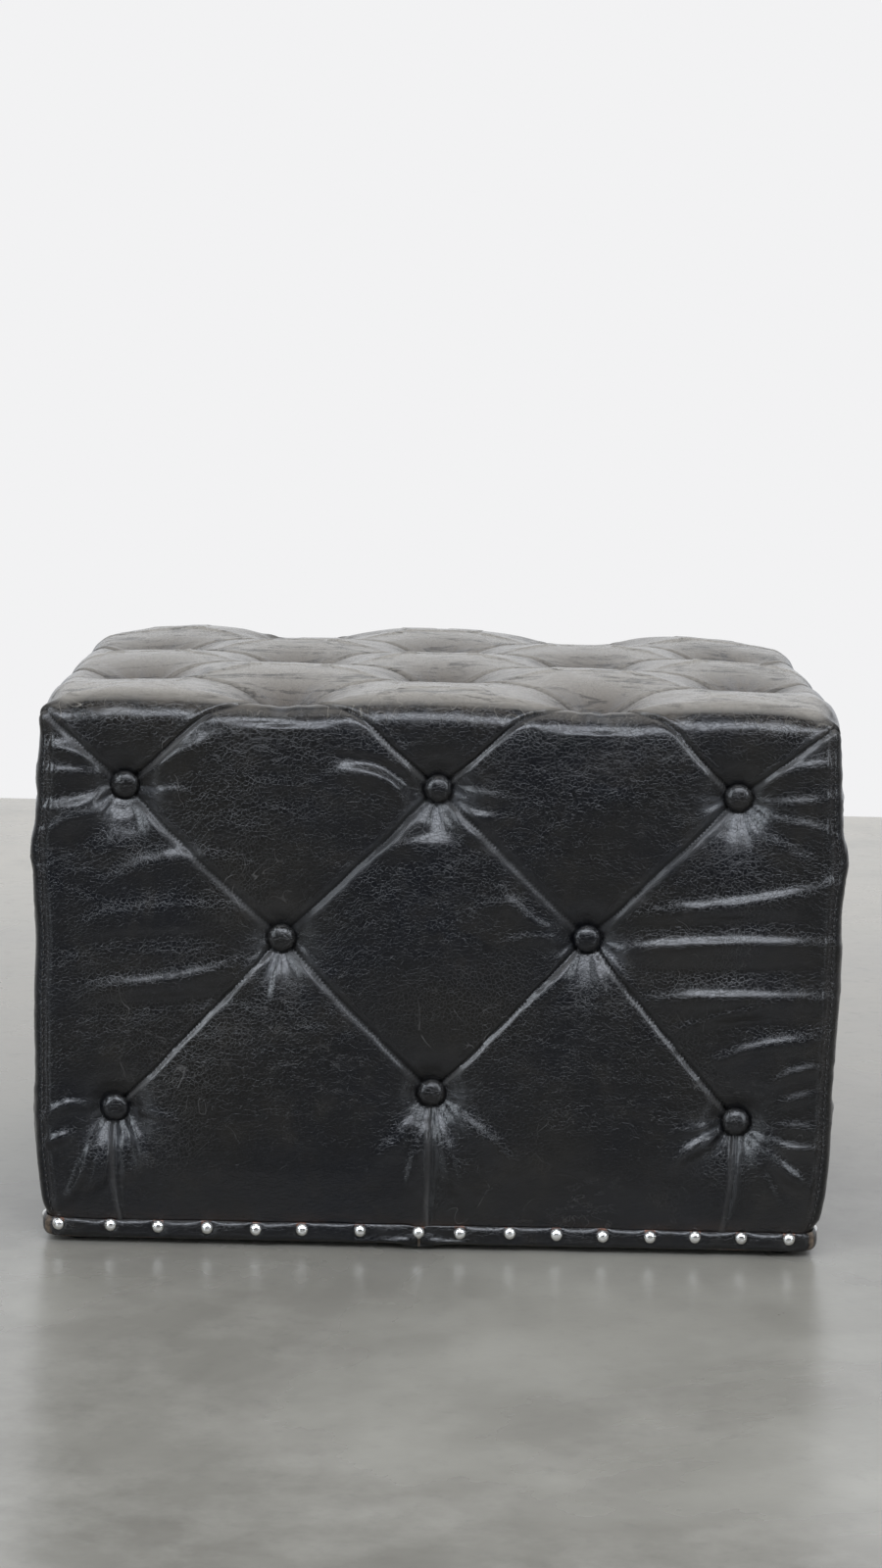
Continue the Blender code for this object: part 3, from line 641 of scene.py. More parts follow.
def leather(name, whole_cover=False):
    """Waxed black leather with crackle, scuffs and pale scratches; a whole cover also has worn edges, a
    painted reflection on its top, painted shade in its pleats and wells, and a painted highlight below its
    pleats.
    """
    made = Finish(name, Roughness=0.4, Specular_IOR_Level=0.3, Coat_Weight=0.15, Coat_Roughness=0.14)
    cloud = made.noise(9.0, 4.0, 0.6)
    blotch = made.noise(26.0, 4.0, 0.65, warp=0.8)
    made.colour(made.mix(made.ramp(cloud, 0.35, 0.65), srgb(7, 8, 12), srgb(14, 13, 12)))
    made.paint(made.ramp(blotch, 0.52, 0.75, 0.0, 0.4), 30, 27, 23)

    hair = made.hairs(15.0, 0.003, made.warped(14.0, 0.03), 1.2)
    more_hair = made.hairs(26.0, 0.004, made.warped(30.0, 0.02), 1.0, 3.7)
    patches = made.ramp(made.noise(9.0, 3.0, 0.6), 0.56, 0.66)
    broken = made.ramp(made.noise(70.0, 1.0, 0.5), 0.48, 0.6)
    hair = made.times(made.math("MAXIMUM", hair, more_hair), patches, broken)

    scuff_place = made.scaled(0.35, 0.35, 1.0, made.warped(40.0, 0.012), (0.0, 0.5, 0.2))
    turned_place = made.scaled(1.0, 1.0, 0.8, turn=(0.4, 0.1, 0.7))
    scuffed = made.ramp(made.noise(11.0, 3.0, 0.6, turned_place), 0.54, 0.7)
    scuff = made.times(made.hairs(70.0, 0.012, scuff_place, 5.0, 1.3), scuffed)

    crackle = made.cracks(330.0, 0.07, made.warped(120.0, 0.004))
    wide_crackle = made.cracks(120.0, 0.035, made.warped(60.0, 0.008))
    worn_crackle = made.math("MAXIMUM", crackle, wide_crackle)
    crackled = made.ramp(made.noise(8.0, 3.0, 0.6, warp=0.5), 0.45, 0.68)

    made.paint(made.times(hair, 0.3), 116, 114, 112)
    made.paint(made.times(scuff, 0.16), 116, 114, 112)
    made.paint(made.times(crackle, crackled, 0.07), 116, 114, 112)
    roughness = made.ramp(blotch, 0.3, 0.75, 0.18, 0.28)
    if whole_cover:
        # Where the cover faces up, the black leather is painted pale grey-brown: a painted reflection of the
        # bright room on the seat. The dark drawn lines below are fine creases where this painted reflection
        # breaks.
        seat = made.ramp(made.measure("seat"), 0.72, 1.0)
        made.paint(made.times(seat, 0.9), 134, 129, 121)
        # The seat's wells and pleats are painted dark brown: painted shade, with some dirt.
        made.paint(made.times(seat, made.measure("valley_shade_and_dirt"), 0.95), 50, 42, 36)
        made.paint(made.times(seat, worn_crackle, 0.35), 60, 55, 50)
        drawn = made.hairs(42.0, 0.03, made.scaled(0.16, 1.0, 1.0, made.warped(9.0, 0.02)), 5.0, 6.1)
        drawn = made.times(drawn, seat, made.ramp(blotch, 0.4, 0.56))
        made.paint(made.times(drawn, 0.85), 34, 31, 28)

        rub = made.ramp(made.noise(24.0, 4.0, 0.7, made.scaled(1.0, 1.0, 2.0)), 0.42, 0.66)
        edge = made.measure("edge_wear")
        made.paint(made.times(edge, rub, 0.3), 90, 82, 72)
        upright = made.hairs(60.0, 0.011, made.scaled(1.0, 1.0, 0.25, made.warped(30.0, 0.01)), 1.0, 2.2)
        patchy = made.ramp(made.noise(15.0, 3.0, 0.6, warp=0.4), 0.42, 0.6)
        made.paint(made.times(edge, upright, patchy, 0.4), 140, 134, 124)
        made.paint(made.times(made.measure("seam"), 0.2), 52, 49, 47)
        made.paint(made.times(made.measure("foot"), rub, 0.45), 74, 52, 36)
        rubbed = made.ramp(blotch, 0.4, 0.6)
        made.paint(made.times(made.measure("pucker"), rubbed, 0.35), 84, 86, 90)
        # The pale line below the pleats: painted highlight along the fold, and wear.
        made.paint(made.times(made.measure("wear_and_sheen"), 0.36), 112, 110, 108)
        # The pleat grooves and the rings round the buttons are painted near-black: painted shade.
        made.paint(made.times(made.measure("crease_shade"), 0.9), 8, 8, 9)
        roughness = made.plus(roughness, made.times(seat, 0.04))
        roughness = made.plus(roughness, made.times(made.measure("dull"), 0.45))
    made.rough(made.plus(roughness, made.times(scuff, 0.15)))
    wrinkle = made.noise(45.0, 3.0, 0.5, made.scaled(1.0, 1.0, 1.4, made.warped(20.0, 0.02)))
    grain = made.noise(900.0, 2.0, 0.6)
    uncracked = made.math("SUBTRACT", 1.0, worn_crackle)
    scratch = made.math("MAXIMUM", hair, scuff)
    layers = [(wrinkle, 0.75 * MM), (uncracked, 0.08 * MM), (grain, 0.10 * MM), (scratch, -0.012 * MM)]
    if whole_cover:
        layers.append((drawn, -0.25 * MM))
    made.bump(*layers)
    return made


def band_leather():
    """The trim's leather, torn and brown at the corners and stained by the nails."""
    made = leather("band_leather_worn")
    ragged = made.noise(160.0, 4.0, 0.7)
    torn = made.times(made.measure("torn"), made.plus(ragged, 0.35))
    made.paint(made.ramp(torn, 0.3, 0.5), 104, 90, 76)
    rust = made.times(made.measure("rust"), ragged)
    made.paint(made.ramp(rust, 0.35, 0.55, 0.0, 0.8), 96, 56, 34)
    return made


def wood(name, pale, dark, rings):
    """Sawn timber, or plywood where the rings are close together."""
    made = Finish(name, Roughness=0.6)
    along = made.scaled(1.0, 1.0, 0.15, made.warped(8.0, 0.02))
    sockets = {"Vector": along, "Scale": rings, "Distortion": 5.0, "Detail": 3.0, "Detail Scale": 1.5}
    growth = made.add("TexWave", sockets, bands_direction="DIAGONAL").outputs["Fac"]
    fibre = made.noise(260.0, 3.0, 0.6, made.scaled(1.0, 1.0, 0.08))
    made.colour(made.mix(made.plus(made.times(growth, 0.6), made.times(fibre, 0.4)), pale, dark))
    made.rough(made.ramp(fibre, 0.2, 0.8, 0.5, 0.72))
    made.bump((fibre, 0.2 * MM))
    return made


def foam_finish():
    made = Finish("upholstery_foam", Roughness=0.9)
    pores = made.cracks(500.0, 0.25)
    made.colour(made.mix(made.times(made.noise(30.0), pores), srgb(214, 196, 128), srgb(170, 148, 84)))
    made.bump((pores, 0.4 * MM))
    return made


def cambric_finish():
    """Black non-woven dust cloth: short matted fibres."""
    made = Finish("black_cambric", Roughness=0.85, Sheen_Weight=0.2)
    fibre = made.hairs(240.0, 0.05, made.warped(150.0, 0.01), 3.0)
    made.colour(made.mix(fibre, srgb(18, 18, 19), srgb(44, 43, 43)))
    made.rough(made.ramp(fibre, 0.0, 1.0, 0.95, 0.75))
    made.bump((fibre, 0.25 * MM))
    return made


def nylon_finish(name, dark, light, roughness):
    made = Finish(name, Roughness=roughness)
    speck = made.noise(400.0, 3.0, 0.6)
    made.colour(made.mix(speck, dark, light))
    made.rough(made.ramp(speck, 0.2, 0.8, roughness - 0.06, roughness + 0.12))
    made.bump((speck, 0.08 * MM))
    return made


def nail_finish():
    """Nickel-plated steel with fine scratches and a few brown specks."""
    made = Finish("nickel_nail", Metallic=1.0, Roughness=0.22)
    stain = made.ramp(made.noise(330.0, 3.0, 0.7), 0.62, 0.78)
    made.colour(made.mix(made.times(stain, 0.55), srgb(226, 225, 222), srgb(112, 84, 62)))
    scratch = made.hairs(420.0, 0.02, made.scaled(1.0, 1.0, 0.3))
    made.rough(made.plus(made.ramp(made.noise(150.0), 0.3, 0.7, 0.1, 0.2), made.times(stain, 0.3)))
    made.bump((scratch, -0.03 * MM))
    return made


COVER = leather("black_waxed_leather", True).material
BUTTON = leather("black_button_leather").material
BAND = band_leather().material
PINE = wood("pine", srgb(206, 168, 116), srgb(168, 122, 74), 30.0).material
PLY = wood("plywood", srgb(200, 164, 118), srgb(158, 116, 76), 60.0).material
FOAM = foam_finish().material
CAMBRIC = cambric_finish().material
NYLON = nylon_finish("black_nylon", srgb(20, 20, 21), srgb(32, 32, 33), 0.4).material
THREAD = nylon_finish("waxed_thread", srgb(20, 18, 17), srgb(38, 35, 32), 0.6).material
NICKEL = nail_finish().material


# --- building pieces
def new_object(name, data):
    made = bpy.data.objects.new(name, data)
    bpy.context.scene.collection.objects.link(made)
    return made


def new_mesh(name, points, faces, material):
    mesh = bpy.data.meshes.new(name)
    mesh.from_pydata([tuple(p) for p in points], [], [tuple(f) for f in faces])
    mesh.materials.append(material)
    return new_object(name, mesh)


def piece(name, points, faces, material, slot, *nodes_stood_for):
    """A smooth mesh piece that rides on the one body of the frame."""
    made = new_mesh(name, points, faces, material)
    made.data.shade_smooth()
    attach(made, "root")
    if nodes_stood_for:
        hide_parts(*nodes_stood_for)
    return made


def face_outwards(made):
    """Turn every face of a closed piece outwards."""
    mesh = bmesh.new()
    mesh.from_mesh(made.data)
    bmesh.ops.recalc_face_normals(mesh, faces=mesh.faces)
    mesh.to_mesh(made.data)
    mesh.free()


def add_measure(made, name, values):
    """Give each point of a piece a number that its material reads."""
    layer = made.data.attributes.new(name, "FLOAT", "POINT")
    layer.data.foreach_set("value", values.astype(np.float32))


def spread(low, high, step):
    """Evenly spaced numbers from low to high, about step apart."""
    return np.linspace(low, high, max(2, int(round((high - low) / step))) + 1)


def grid_quads(rows, columns, first=0):
    """Quads of a grid whose points run along the rows, counter-clockwise seen from outside."""
    index = first + np.arange(rows * columns).reshape(rows, columns)
    corners = (index[:-1, :-1], index[:-1, 1:], index[1:, 1:], index[1:, :-1])
    return np.stack([c.ravel() for c in corners], axis=1)


def flat_grids(step):
    """The plain box's five outer faces as grids of points, each row running to the face's right."""
    across_x = spread(-HALF_X, HALF_X, step)
    across_y = spread(-HALF_Y, HALF_Y, step)
    up = spread(FOOT, TOP, step)
    grids = {}
    for face, (normal, right) in FACES.items():
        plane, _ = reach(face)
        across = across_x if face in ("front", "back") else across_y
        level, offset = np.meshgrid(up, across, indexing="ij")
        flat = np.array(normal) * plane + offset[..., None] * np.array(right)
        flat[..., 2] = level
        grids[face] = flat
    y, x = np.meshgrid(across_y, across_x, indexing="ij")
    grids["seat"] = np.stack([x, y, np.full_like(x, TOP)], axis=-1)
    return grids


def vertex_normals(points, faces):
    corner = points[faces]
    normal = np.cross(corner[:, 2] - corner[:, 0], corner[:, 3] - corner[:, 1])
    total = np.zeros_like(points)
    for i in range(4):
        np.add.at(total, faces[:, i], normal)
    return unit(total)


HEM_ROWS = ((0.5 * MM, 0.45 * MM), (1.6 * MM, 0.7 * MM), (7.2 * MM, 0.7 * MM))    # inward, down


def build_cover():
    """Five sewn leather panels that share one tufted surface, turned in under the frame."""
    grids = flat_grids(STEP)
    stacked = np.concatenate([grid.reshape(-1, 3) for grid in grids.values()])
    _, first, shared = np.unique(np.round(stacked, 6), axis=0, return_index=True, return_inverse=True)
    shared = shared.ravel()
    points, _, measures = upholstery(stacked[first])
    quads = {}
    start = 0
    for face, grid in grids.items():
        rows, columns = grid.shape[:2]
        quads[face] = shared[grid_quads(rows, columns, start)]
        start += rows * columns
    normals = vertex_normals(points, np.concatenate(list(quads.values())))
    for face, faces in quads.items():
        used, local = np.unique(faces, return_inverse=True)
        local = local.reshape(faces.shape)
        places, facing = points[used], normals[used]
        if face != "seat":
            sideways = places @ np.array(FACES[face][1])
            hem = np.flatnonzero(np.abs(places[:, 2] - FOOT) < 1e-4)
            hem = hem[np.argsort(sideways[hem])]
            last = hem
            for inward, down in HEM_ROWS:
                turned = places[hem] * (1 - inward / BAND_HALF_X, 1 - inward / BAND_HALF_Y, 1) - (0, 0, down)
                new = len(places) + np.arange(len(hem))
                places = np.concatenate([places, turned])
                facing = np.concatenate([facing, np.tile((0.0, 0.0, -1.0), (len(hem), 1))])
                used = np.concatenate([used, used[hem]])
                local = np.concatenate([local, np.stack([last[1:], last[:-1], new[:-1], new[1:]], axis=1)])
                last = new
        made = piece(f"leather_{face}", places, local, COVER, "cover_leather", "leather_cover")
        for name, values in measures.items():
            add_measure(made, name, values[used])
        made.data.normals_split_custom_set_from_vertices([tuple(n) for n in facing])


def build_foam():
    """Foam slabs that fill the leather from behind, each hollowed where the buttons pull."""
    for face in (*FACES, "seat"):
        gap = 6.5 * MM if face == "seat" else 4.5 * MM
        node = "seat_foam" if face == "seat" else f"foam_{face}"
        low, high = (np.array(corner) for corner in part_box(node))
        axis = 2 if face == "seat" else 1 if face in ("front", "back") else 0
        sign = -1 if face in ("front", "left") else 1
        a, b = [i for i in range(3) if i != axis]
        u, v = np.meshgrid(spread(low[a], high[a], 5 * MM), spread(low[b], high[b], 5 * MM), indexing="ij")
        flat = np.zeros((*u.shape, 3))
        flat[..., a], flat[..., b] = u, v
        flat[..., axis] = sign * (HALF_X, HALF_Y, sign * TOP)[axis]
        outer, outward, _ = upholstery(flat.reshape(-1, 3))
        outer = outer - outward * gap
        inner = outer.copy()
        inner[:, axis] = high[axis] if sign < 0 else low[axis]
        thinnest = inner[:, axis] + sign * 4 * MM
        outer[:, axis] = sign * np.maximum(sign * outer[:, axis], sign * thinnest)
        quads = grid_quads(*u.shape)
        index = np.arange(u.size).reshape(u.shape)
        ring = np.concatenate([index[0, :-1], index[:-1, -1], index[-1, :0:-1], index[:0:-1, 0]])
        wall = np.stack([ring, np.roll(ring, -1), np.roll(ring, -1) + u.size, ring + u.size], axis=1)
        faces = np.concatenate([quads, quads[:, ::-1] + u.size, wall[:, ::-1]])
        made = piece(f"{node}_pad", np.concatenate([outer, inner]), faces, FOAM, "foam", node)
        face_outwards(made)


def turned_shape(profile, around):
    """Points and faces of a closed shape turned round +Z, from its (radius, height) profile in mm."""
    points = [(0, 0, profile[0][1])]
    for radius, height in profile[1:-1]:
        for turn in np.linspace(0, 2 * math.pi, around, endpoint=False):
            points.append((radius * math.cos(turn), radius * math.sin(turn), height))
    points.append((0, 0, profile[-1][1]))
    faces = []
    last = len(points) - 1
    for i in range(around):
        j = (i + 1) % around
        faces.append((0, 1 + j, 1 + i))
        for low in range(1, last - around, around):
            faces.append((low + i, low + j, low + around + j, low + around + i))
        faces.append((last, last - around + i, last - around + j))
    return np.array(points, float) * MM, faces


BUTTON_PROFILE = [(0, -8.3), (7.0, -8.3), (9.4, -8.0), (10.3, -7.2), (10.9, -6.1), (11.0, -5.0), (10.7, -4.0),
                  (10.1, -3.1), (9.2, -2.35), (8.0, -1.65), (6.4, -1.0), (4.6, -0.5), (2.6, -0.15),
                  (1.2, -0.04), (0, 0)]
NAIL_PROFILE = [(0, -1.2), (4.5, -1.2), (4.95, -0.9), (5.0, -0.5), (4.75, 0.3), (4.1, 1.3), (3.05, 2.1),
                (1.7, 2.62), (0.7, 2.78), (0, 2.8)]


def button_shape(chance):
    """A leather-covered button: a slightly uneven dome whose leather is gathered at its rim."""
    points, faces = turned_shape(BUTTON_PROFILE, 48)
    radius = np.hypot(points[:, 0], points[:, 1])
    turn = np.arctan2(points[:, 1], points[:, 0])
    gathers = chance.integers(9, 14)
    phase = chance.uniform(0, 6.3, 3)
    rim = smoothstep(6.5 * MM, 10.5 * MM, radius)
    wave = np.abs(np.sin(gathers * turn / 2 + phase[0] + 0.5 * np.sin(2 * turn + phase[1])))
    points[:, :2] *= (1 - 0.022 * rim * wave)[:, None]
    points[:, 2] -= 0.28 * MM * rim * wave
    points[:, 2] += 0.35 * MM * noise(points + phase[2], 7 * MM) * (1 - 0.5 * rim)
    return points, faces


def stood_on(points, tip, normal, chance, tilt):
    """A shape's points moved to a tip, its +Z turned to the normal, with a small random lean."""
    lean = Vector(normal) + Vector(chance.uniform(-tilt, tilt, 3))
    turned = lean.to_track_quat("Z", "Y").to_matrix()
    return points @ np.array(turned).T + np.array(tip)


def build_buttons():
    chance = np.random.default_rng(11)
    for name in sorted(n for n in nodes if "_button" in n):
        face = name.split("_")[0]
        normal = (0, 0, 1) if face == "top" else tuple(FACES[face][0])
        spots = tips(name, normal)
        for i, tip in enumerate(spots, 1):
            label = f"{name}_cover" if len(spots) == 1 else f"{name}_cover_{i}"
            points, faces = button_shape(chance)
            moved = stood_on(points, tip, normal, chance, 0.07)
            if face == "top":
                crowned, _ = envelope(np.array([[tip[0], tip[1], TOP]]))
                moved[:, 2] += crowned[0, 2] - TOP
            piece(label, moved, faces, BUTTON, "button_leather", name)


# --- band, nails and stitches
BAND_JOINT = -8 * MM
FRONT_NAILS = [-281, -242, -206, -169, -132, -97, -53, -8.5, 23, 60.5, 96, 131, 167, 201, 236, 272]    # mm
NAIL_LEVEL = 15.4 * MM


def perimeter(step):
    """Evenly spaced points round the foot at the band's middle, counter-clockwise from the front's middle."""
    x = spread(0, HALF_X, step)
    y = spread(-HALF_Y, HALF_Y, step)
    far_x = np.linspace(HALF_X, -HALF_X, 2 * len(x) - 1)
    loop = [(a, -HALF_Y) for a in x[:-1]] + [(HALF_X, b) for b in y[:-1]] + [(a, HALF_Y) for a in far_x[:-1]]
    loop += [(-HALF_X, b) for b in y[:0:-1]] + [(a, -HALF_Y) for a in -x[:0:-1]]
    return np.array([(a, b, BAND_MIDDLE) for a, b in loop])


def nail_places():
    """(across, up) of the nails by face; the front's are listed one by one, spaced unevenly."""
    chance = np.random.default_rng(5)
    places = {"front": [(x * MM, NAIL_LEVEL + chance.uniform(-0.6, 0.6) * MM) for x in FRONT_NAILS]}
    for face, count, corner_gap in (("back", 16, 9 * MM), ("left", 11, 22 * MM), ("right", 11, 22 * MM)):
        end = reach(face)[1] - TAPER - corner_gap
        places[face] = []
        for i, across in enumerate(np.linspace(-end, end, count)):
            shift = chance.uniform(-3, 3) * MM * (0 < i < count - 1)
            places[face].append((across + shift, NAIL_LEVEL + chance.uniform(-0.7, 0.7) * MM))
    return places


NAILS = nail_places()


def nail_point(face, across):
    """A point of the leather at a nail's place, and its face's normal."""
    _, half = reach(face)
    skin, outward = envelope(np.array([on_face(face, across * half / (half - TAPER), BAND_MIDDLE)]))
    return skin[0], outward[0]


def rounded(wave, power):
    """A wave from -1 to 1, flattened near both."""
    return math.copysign(abs(wave) ** power, wave)


def build_band():
    """A rolled leather strip nailed round the foot, its two ends pinched together on the front."""
    skin, outward = envelope(perimeter(1.5 * MM))
    outward[:, 2] = 0
    outward = unit(outward)
    half_height = (BAND_HIGH - BAND_LOW) / 2
    turns = np.linspace(0, 2 * math.pi, 32, endpoint=False)
    section = [((0.5 + 0.5 * rounded(math.cos(turn), 0.7)) * BAND_THICK,
                rounded(math.sin(turn), 0.6) * half_height) for turn in turns]
    nail_spots = np.array([nail_point(face, across)[0][:2] for face in NAILS for across, _ in NAILS[face]])
    to_nail = np.min(np.linalg.norm(skin[:, None, :2] - nail_spots[None], axis=2), axis=1)
    dent = bell(to_nail, 6 * MM)
    from_joint = np.abs(skin[:, 0] - BAND_JOINT)
    in_front = skin[:, 1] < 0
    joint = bell(from_joint, 6 * MM) * in_front
    slit = bell(from_joint, 1.6 * MM) * in_front
    sunk_edge = bell(from_joint, 15 * MM) * in_front
    pinch = np.exp(-from_joint / (30 * MM)) * in_front
    gathered_at = -1.5 * MM - 4.5 * MM * (1 - np.exp(-from_joint / (14 * MM)))
    corner = bell(np.hypot(np.abs(skin[:, 0]) - BAND_HALF_X, np.abs(skin[:, 1]) - BAND_HALF_Y), 9 * MM)
    points = []
    for out, up in section:
        face_out = max(0.0, out / BAND_THICK)
        belly = 1.9 * MM * (1 - dent) * (1 - abs(up / half_height) ** 3) * (1 - pinch)
        ridge = 4.0 * MM * pinch * bell(up - gathered_at, 1.6 * MM)
        ripple = 0.8 * MM * noise(skin + (0, 0, up), 0.014, 2.0)
        bulge = face_out * (belly + ridge - 2.8 * MM * slit + ripple)
        ring = skin + outward * (0.15 * MM + out + bulge)[:, None]
        drop, seed = (1.5 * MM * joint, 5.0) if up > 0 else (3.0 * MM * sunk_edge, 11.0)
        ring[:, 2] += up + (0.9 * MM * noise(skin, 0.025, seed) - drop) * abs(up / half_height)
        points.append(ring)
    points = np.concatenate(points)
    index = np.arange(len(points)).reshape(len(section), -1)
    ahead = np.roll(index, -1, axis=1)
    faces = np.stack([index, ahead, np.roll(ahead, -1, axis=0), np.roll(index, -1, axis=0)], axis=-1)
    made = piece("nailed_band", points, faces.reshape(-1, 4)[:, ::-1], BAND, "band_leather", "trim_band")
    face_outwards(made)
    add_measure(made, "torn", np.tile(np.clip(corner + 0.5 * slit, 0, 1), len(section)))
    stained = np.tile(np.exp(-(to_nail / (5.5 * MM)) ** 4), len(section))
    add_measure(made, "rust", stained * (points[:, 2] > 15 * MM))


def build_nails():
    """Domed nail heads, one piece for each side."""
    chance = np.random.default_rng(17)
    points, faces = turned_shape(NAIL_PROFILE, 28)
    for face, spots in NAILS.items():
        all_points, all_faces = [], []
        for across, up in spots:
            place, outward = nail_point(face, across)
            place = place + outward * (BAND_THICK + 0.9 * MM)
            place[2] = up
            base = len(all_points) * len(points)
            all_faces += [tuple(base + i for i in f) for f in faces]
            all_points.append(stood_on(points, place, outward, chance, 0.10))
        piece(f"{face}_nails", np.concatenate(all_points), all_faces, NICKEL, "nail_metal")


STITCH_LENGTH, STITCH_PITCH, STITCH_THICK = 3.6 * MM, 5.4 * MM, 0.45 * MM


def stitch(run, out, base):
    """Points and faces of a stitch along a run of 5 points of the leather; it dips in at both ends."""
    across = unit(np.cross(out, run[-1] - run[0]))
    points, faces = [], []
    for k in range(5):
        share = k / 2 - 1
        size = STITCH_THICK * math.sqrt(max(0.04, 1 - share ** 4))
        height = 0.15 * MM + 0.45 * MM * (1 - share ** 2)
        for turn in np.linspace(0, 2 * math.pi, 8, endpoint=False):
            up, sideways = height + size * math.sin(turn), size * math.cos(turn)
            points.append(run[k] + out[k] * up + across[k] * sideways)
    for k in range(4):
        for j in range(8):
            a, b = base + 8 * k + j, base + 8 * k + (j + 1) % 8
            faces.append((a, a + 8, b + 8, b))
    faces.append(tuple(base + j for j in range(8)))
    faces.append(tuple(base + 32 + j for j in reversed(range(8))))
    return points, faces


def build_stitches():
    """A row of stitches beside each upright seam of the front and the back."""
    levels = np.arange(BAND_HIGH + 6 * MM, TOP - 26 * MM, STITCH_PITCH)
    for face in ("front", "back"):
        inset = reach(face)[1] - SEAM_INSET + 2.6 * MM
        for side, side_name in ((-1, "left"), (1, "right")):
            flat = [on_face(face, side * inset, level + share * STITCH_LENGTH)
                    for level in levels for share in np.linspace(-0.5, 0.5, 5)]
            skin, outward, _ = upholstery(np.array(flat))
            points, faces = [], []
            for start in range(0, len(flat), 5):
                more = stitch(skin[start:start + 5], outward[start:start + 5], len(points))
                points += more[0]
                faces += more[1]
            made = piece(f"corner_stitches_{face}_{side_name}", points, faces, THREAD, "nylon")
            face_outwards(made)


CARRIED_OVER = {"base_rail": PINE, "corner_post": PINE, "glue_block": PINE, "top_rail": PINE,
                "seat_cross_rail": PINE, "panel": PLY, "seat_board": PLY, "dust_cover": CAMBRIC,
                "glide": NYLON}


def finish_frame_nodes():
    """The frame, the boards, the dust cloth and the glides keep their CAD shapes and get real finishes."""
    for name, node in nodes.items():
        for start, material in CARRIED_OVER.items():
            if name.startswith(start):
                node.data.materials.clear()
                node.data.materials.append(material)


# --- studio
FLOOR_HALF_WIDTH, FLOOR_FRONT, FLOOR_BACK = 2.0, -2.16, 1.84


def build_floor():
    made = Finish("polished_concrete", Roughness=0.3, Specular_IOR_Level=0.5)
    cloud = made.noise(1.8, 6.0, 0.62, warp=0.4)
    patch = made.noise(9.0, 5.0, 0.65)
    speck = made.noise(60.0, 4.0, 0.7)
    # The floor is painted darker at the front and paler towards the back: painted light, brighter where the
    # room is lit.
    away = made.ramp(made.add("SeparateXYZ", {0: made.place}).outputs["Y"], -0.2, 1.9)
    clouded = made.ramp(cloud, 0.35, 0.65)
    near = made.mix(clouded, srgb(103, 100, 93), srgb(133, 130, 122))
    far = made.mix(clouded, srgb(194, 187, 174), srgb(208, 201, 187))
    made.colour(made.mix(away, near, far))
    made.paint(made.ramp(patch, 0.45, 0.7, 0.0, 0.35), 150, 147, 139)
    made.paint(made.ramp(speck, 0.55, 0.8, 0.0, 0.3), 92, 91, 87)
    made.rough(made.ramp(cloud, 0.3, 0.7, 0.22, 0.32))
    made.bump((speck, 0.15 * MM))
    corners = [(-FLOOR_HALF_WIDTH, FLOOR_FRONT, 0), (FLOOR_HALF_WIDTH, FLOOR_FRONT, 0),
               (FLOOR_HALF_WIDTH, FLOOR_BACK, 0), (-FLOOR_HALF_WIDTH, FLOOR_BACK, 0)]
    new_mesh("floor", corners, [(0, 1, 2, 3)], made.material)


# Name, place, width and height, watts and colour of each lamp.
LAMPS = (("window_left", (-1.6, -1.9, 1.15), (0.8, 1.6), 38, (0.85, 0.92, 1.0)),
         ("window_right", (1.7, -1.9, 1.1), (0.5, 1.4), 22, (0.86, 0.92, 1.0)),
         ("window_strip", (0.2, -2.3, 1.8), (2.2, 0.95), 76, (0.86, 0.91, 1.0)),
         ("ceiling_light", (0.2, -0.3, 2.8), (2.4, 1.4), 24, (1.0, 0.98, 0.95)))
LAMPS_AIM = Vector((0, 0, 0.25))


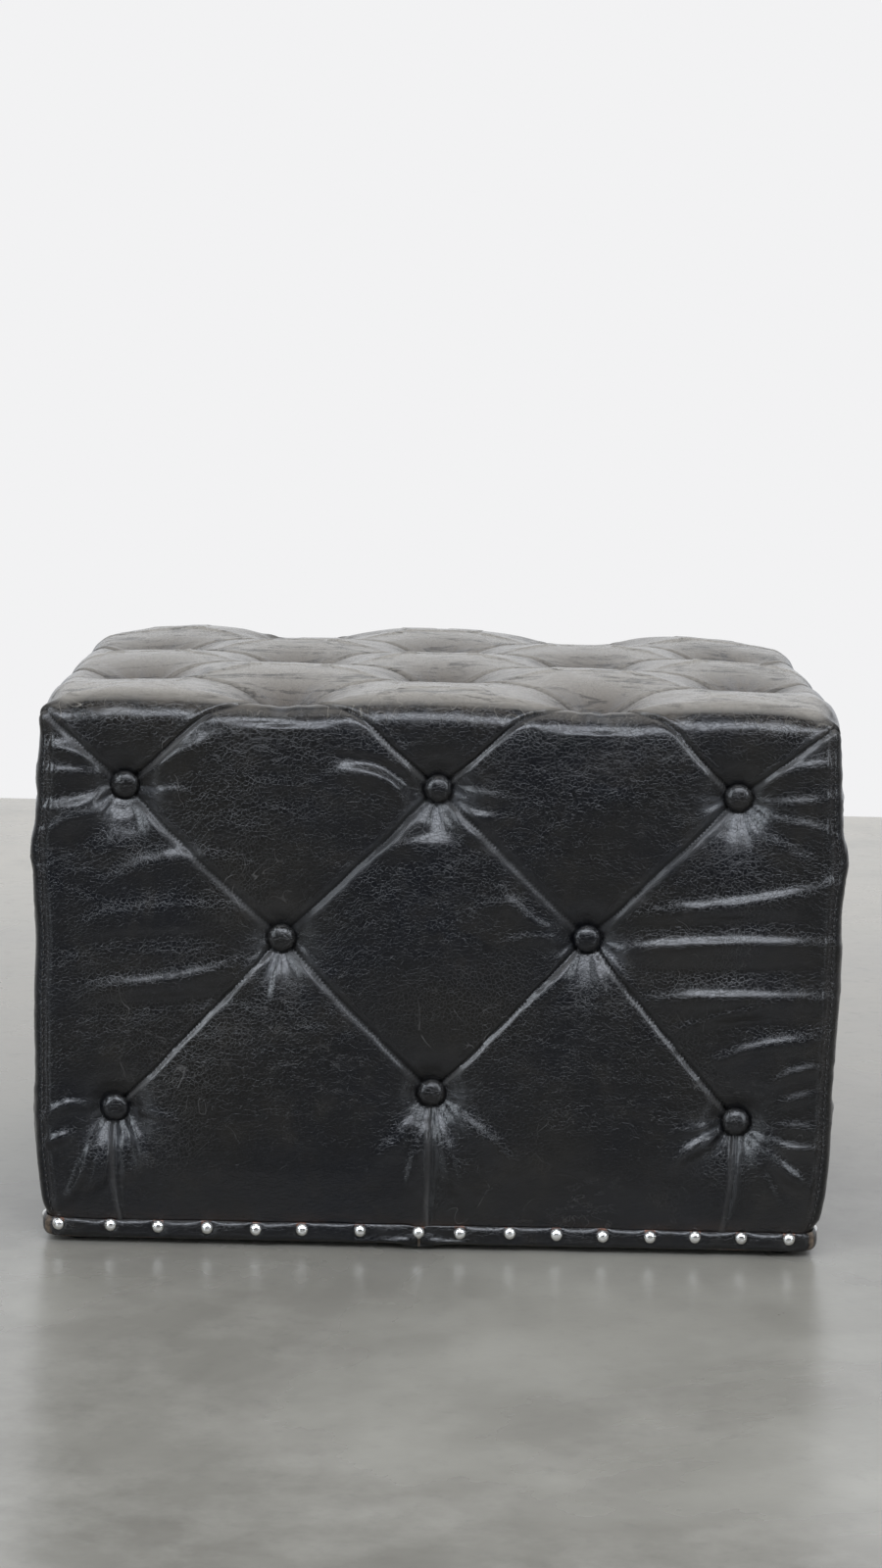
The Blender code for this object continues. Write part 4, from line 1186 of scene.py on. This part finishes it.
def build_light():
    """A pale room, bright behind and dim in front, with three window lamps in front and one lamp above."""
    world = bpy.data.worlds.new("studio")
    world.use_nodes = True
    tree = world.node_tree
    tree.nodes.clear()
    facing = add_node(tree, "TexCoord").outputs["Generated"]
    split = add_node(tree, "SeparateXYZ", {0: facing})
    sockets = {"Value": split.outputs["Y"], "From Min": -0.6, "From Max": 0.7, "To Min": 0.11, "To Max": 1.0}
    level = add_node(tree, "MapRange", sockets)
    room = add_node(tree, "Background", {"Color": srgb(244, 247, 252), "Strength": level.outputs[0]})
    backdrop = add_node(tree, "Background", {"Color": srgb(242, 242, 243)})
    seen = add_node(tree, "LightPath").outputs["Is Camera Ray"]
    both = add_node(tree, "MixShader", {0: seen, 1: room.outputs[0], 2: backdrop.outputs[0]})
    add_node(tree, "OutputWorld", {0: both.outputs[0]})
    bpy.context.scene.world = world
    for name, place, size, power, tint in LAMPS:
        lamp = bpy.data.lights.new(name, "AREA")
        lamp.shape = "RECTANGLE"
        lamp.size, lamp.size_y = size
        lamp.energy = power
        lamp.color = tint
        made = new_object(name, lamp)
        made.location = place
        made.rotation_euler = (LAMPS_AIM - Vector(place)).to_track_quat("-Z", "Y").to_euler()


CAMERA_PLACE = (-0.0021, -2.6514, 0.7513)
CAMERA_YAW, CAMERA_PITCH, CAMERA_ROLL = 0.0013, 0.1587, 0.022    # radians
CAMERA_SENSOR, CAMERA_LENS = 36, 76.76                           # mm


def build_camera():
    sin_yaw, cos_yaw = math.sin(CAMERA_YAW), math.cos(CAMERA_YAW)
    sin_pitch, cos_pitch = math.sin(CAMERA_PITCH), math.cos(CAMERA_PITCH)
    forward = Vector((sin_yaw * cos_pitch, cos_yaw * cos_pitch, -sin_pitch))
    level = Vector((cos_yaw, -sin_yaw, 0))
    upward = level.cross(forward)
    right = math.cos(CAMERA_ROLL) * level + math.sin(CAMERA_ROLL) * upward
    up = -math.sin(CAMERA_ROLL) * level + math.cos(CAMERA_ROLL) * upward
    lens = bpy.data.cameras.new("camera")
    lens.sensor_fit = "VERTICAL"
    lens.sensor_height = CAMERA_SENSOR
    lens.lens = CAMERA_LENS
    made = new_object("camera", lens)
    turned = Matrix((right, up, -forward)).transposed().to_4x4()
    made.matrix_world = Matrix.Translation(CAMERA_PLACE) @ turned
    bpy.context.scene.camera = made


build_camera()
build_light()
build_floor()
build_cover()
build_foam()
build_buttons()
build_band()
build_nails()
build_stitches()
finish_frame_nodes()
bpy.context.scene.view_settings.view_transform = "Standard"
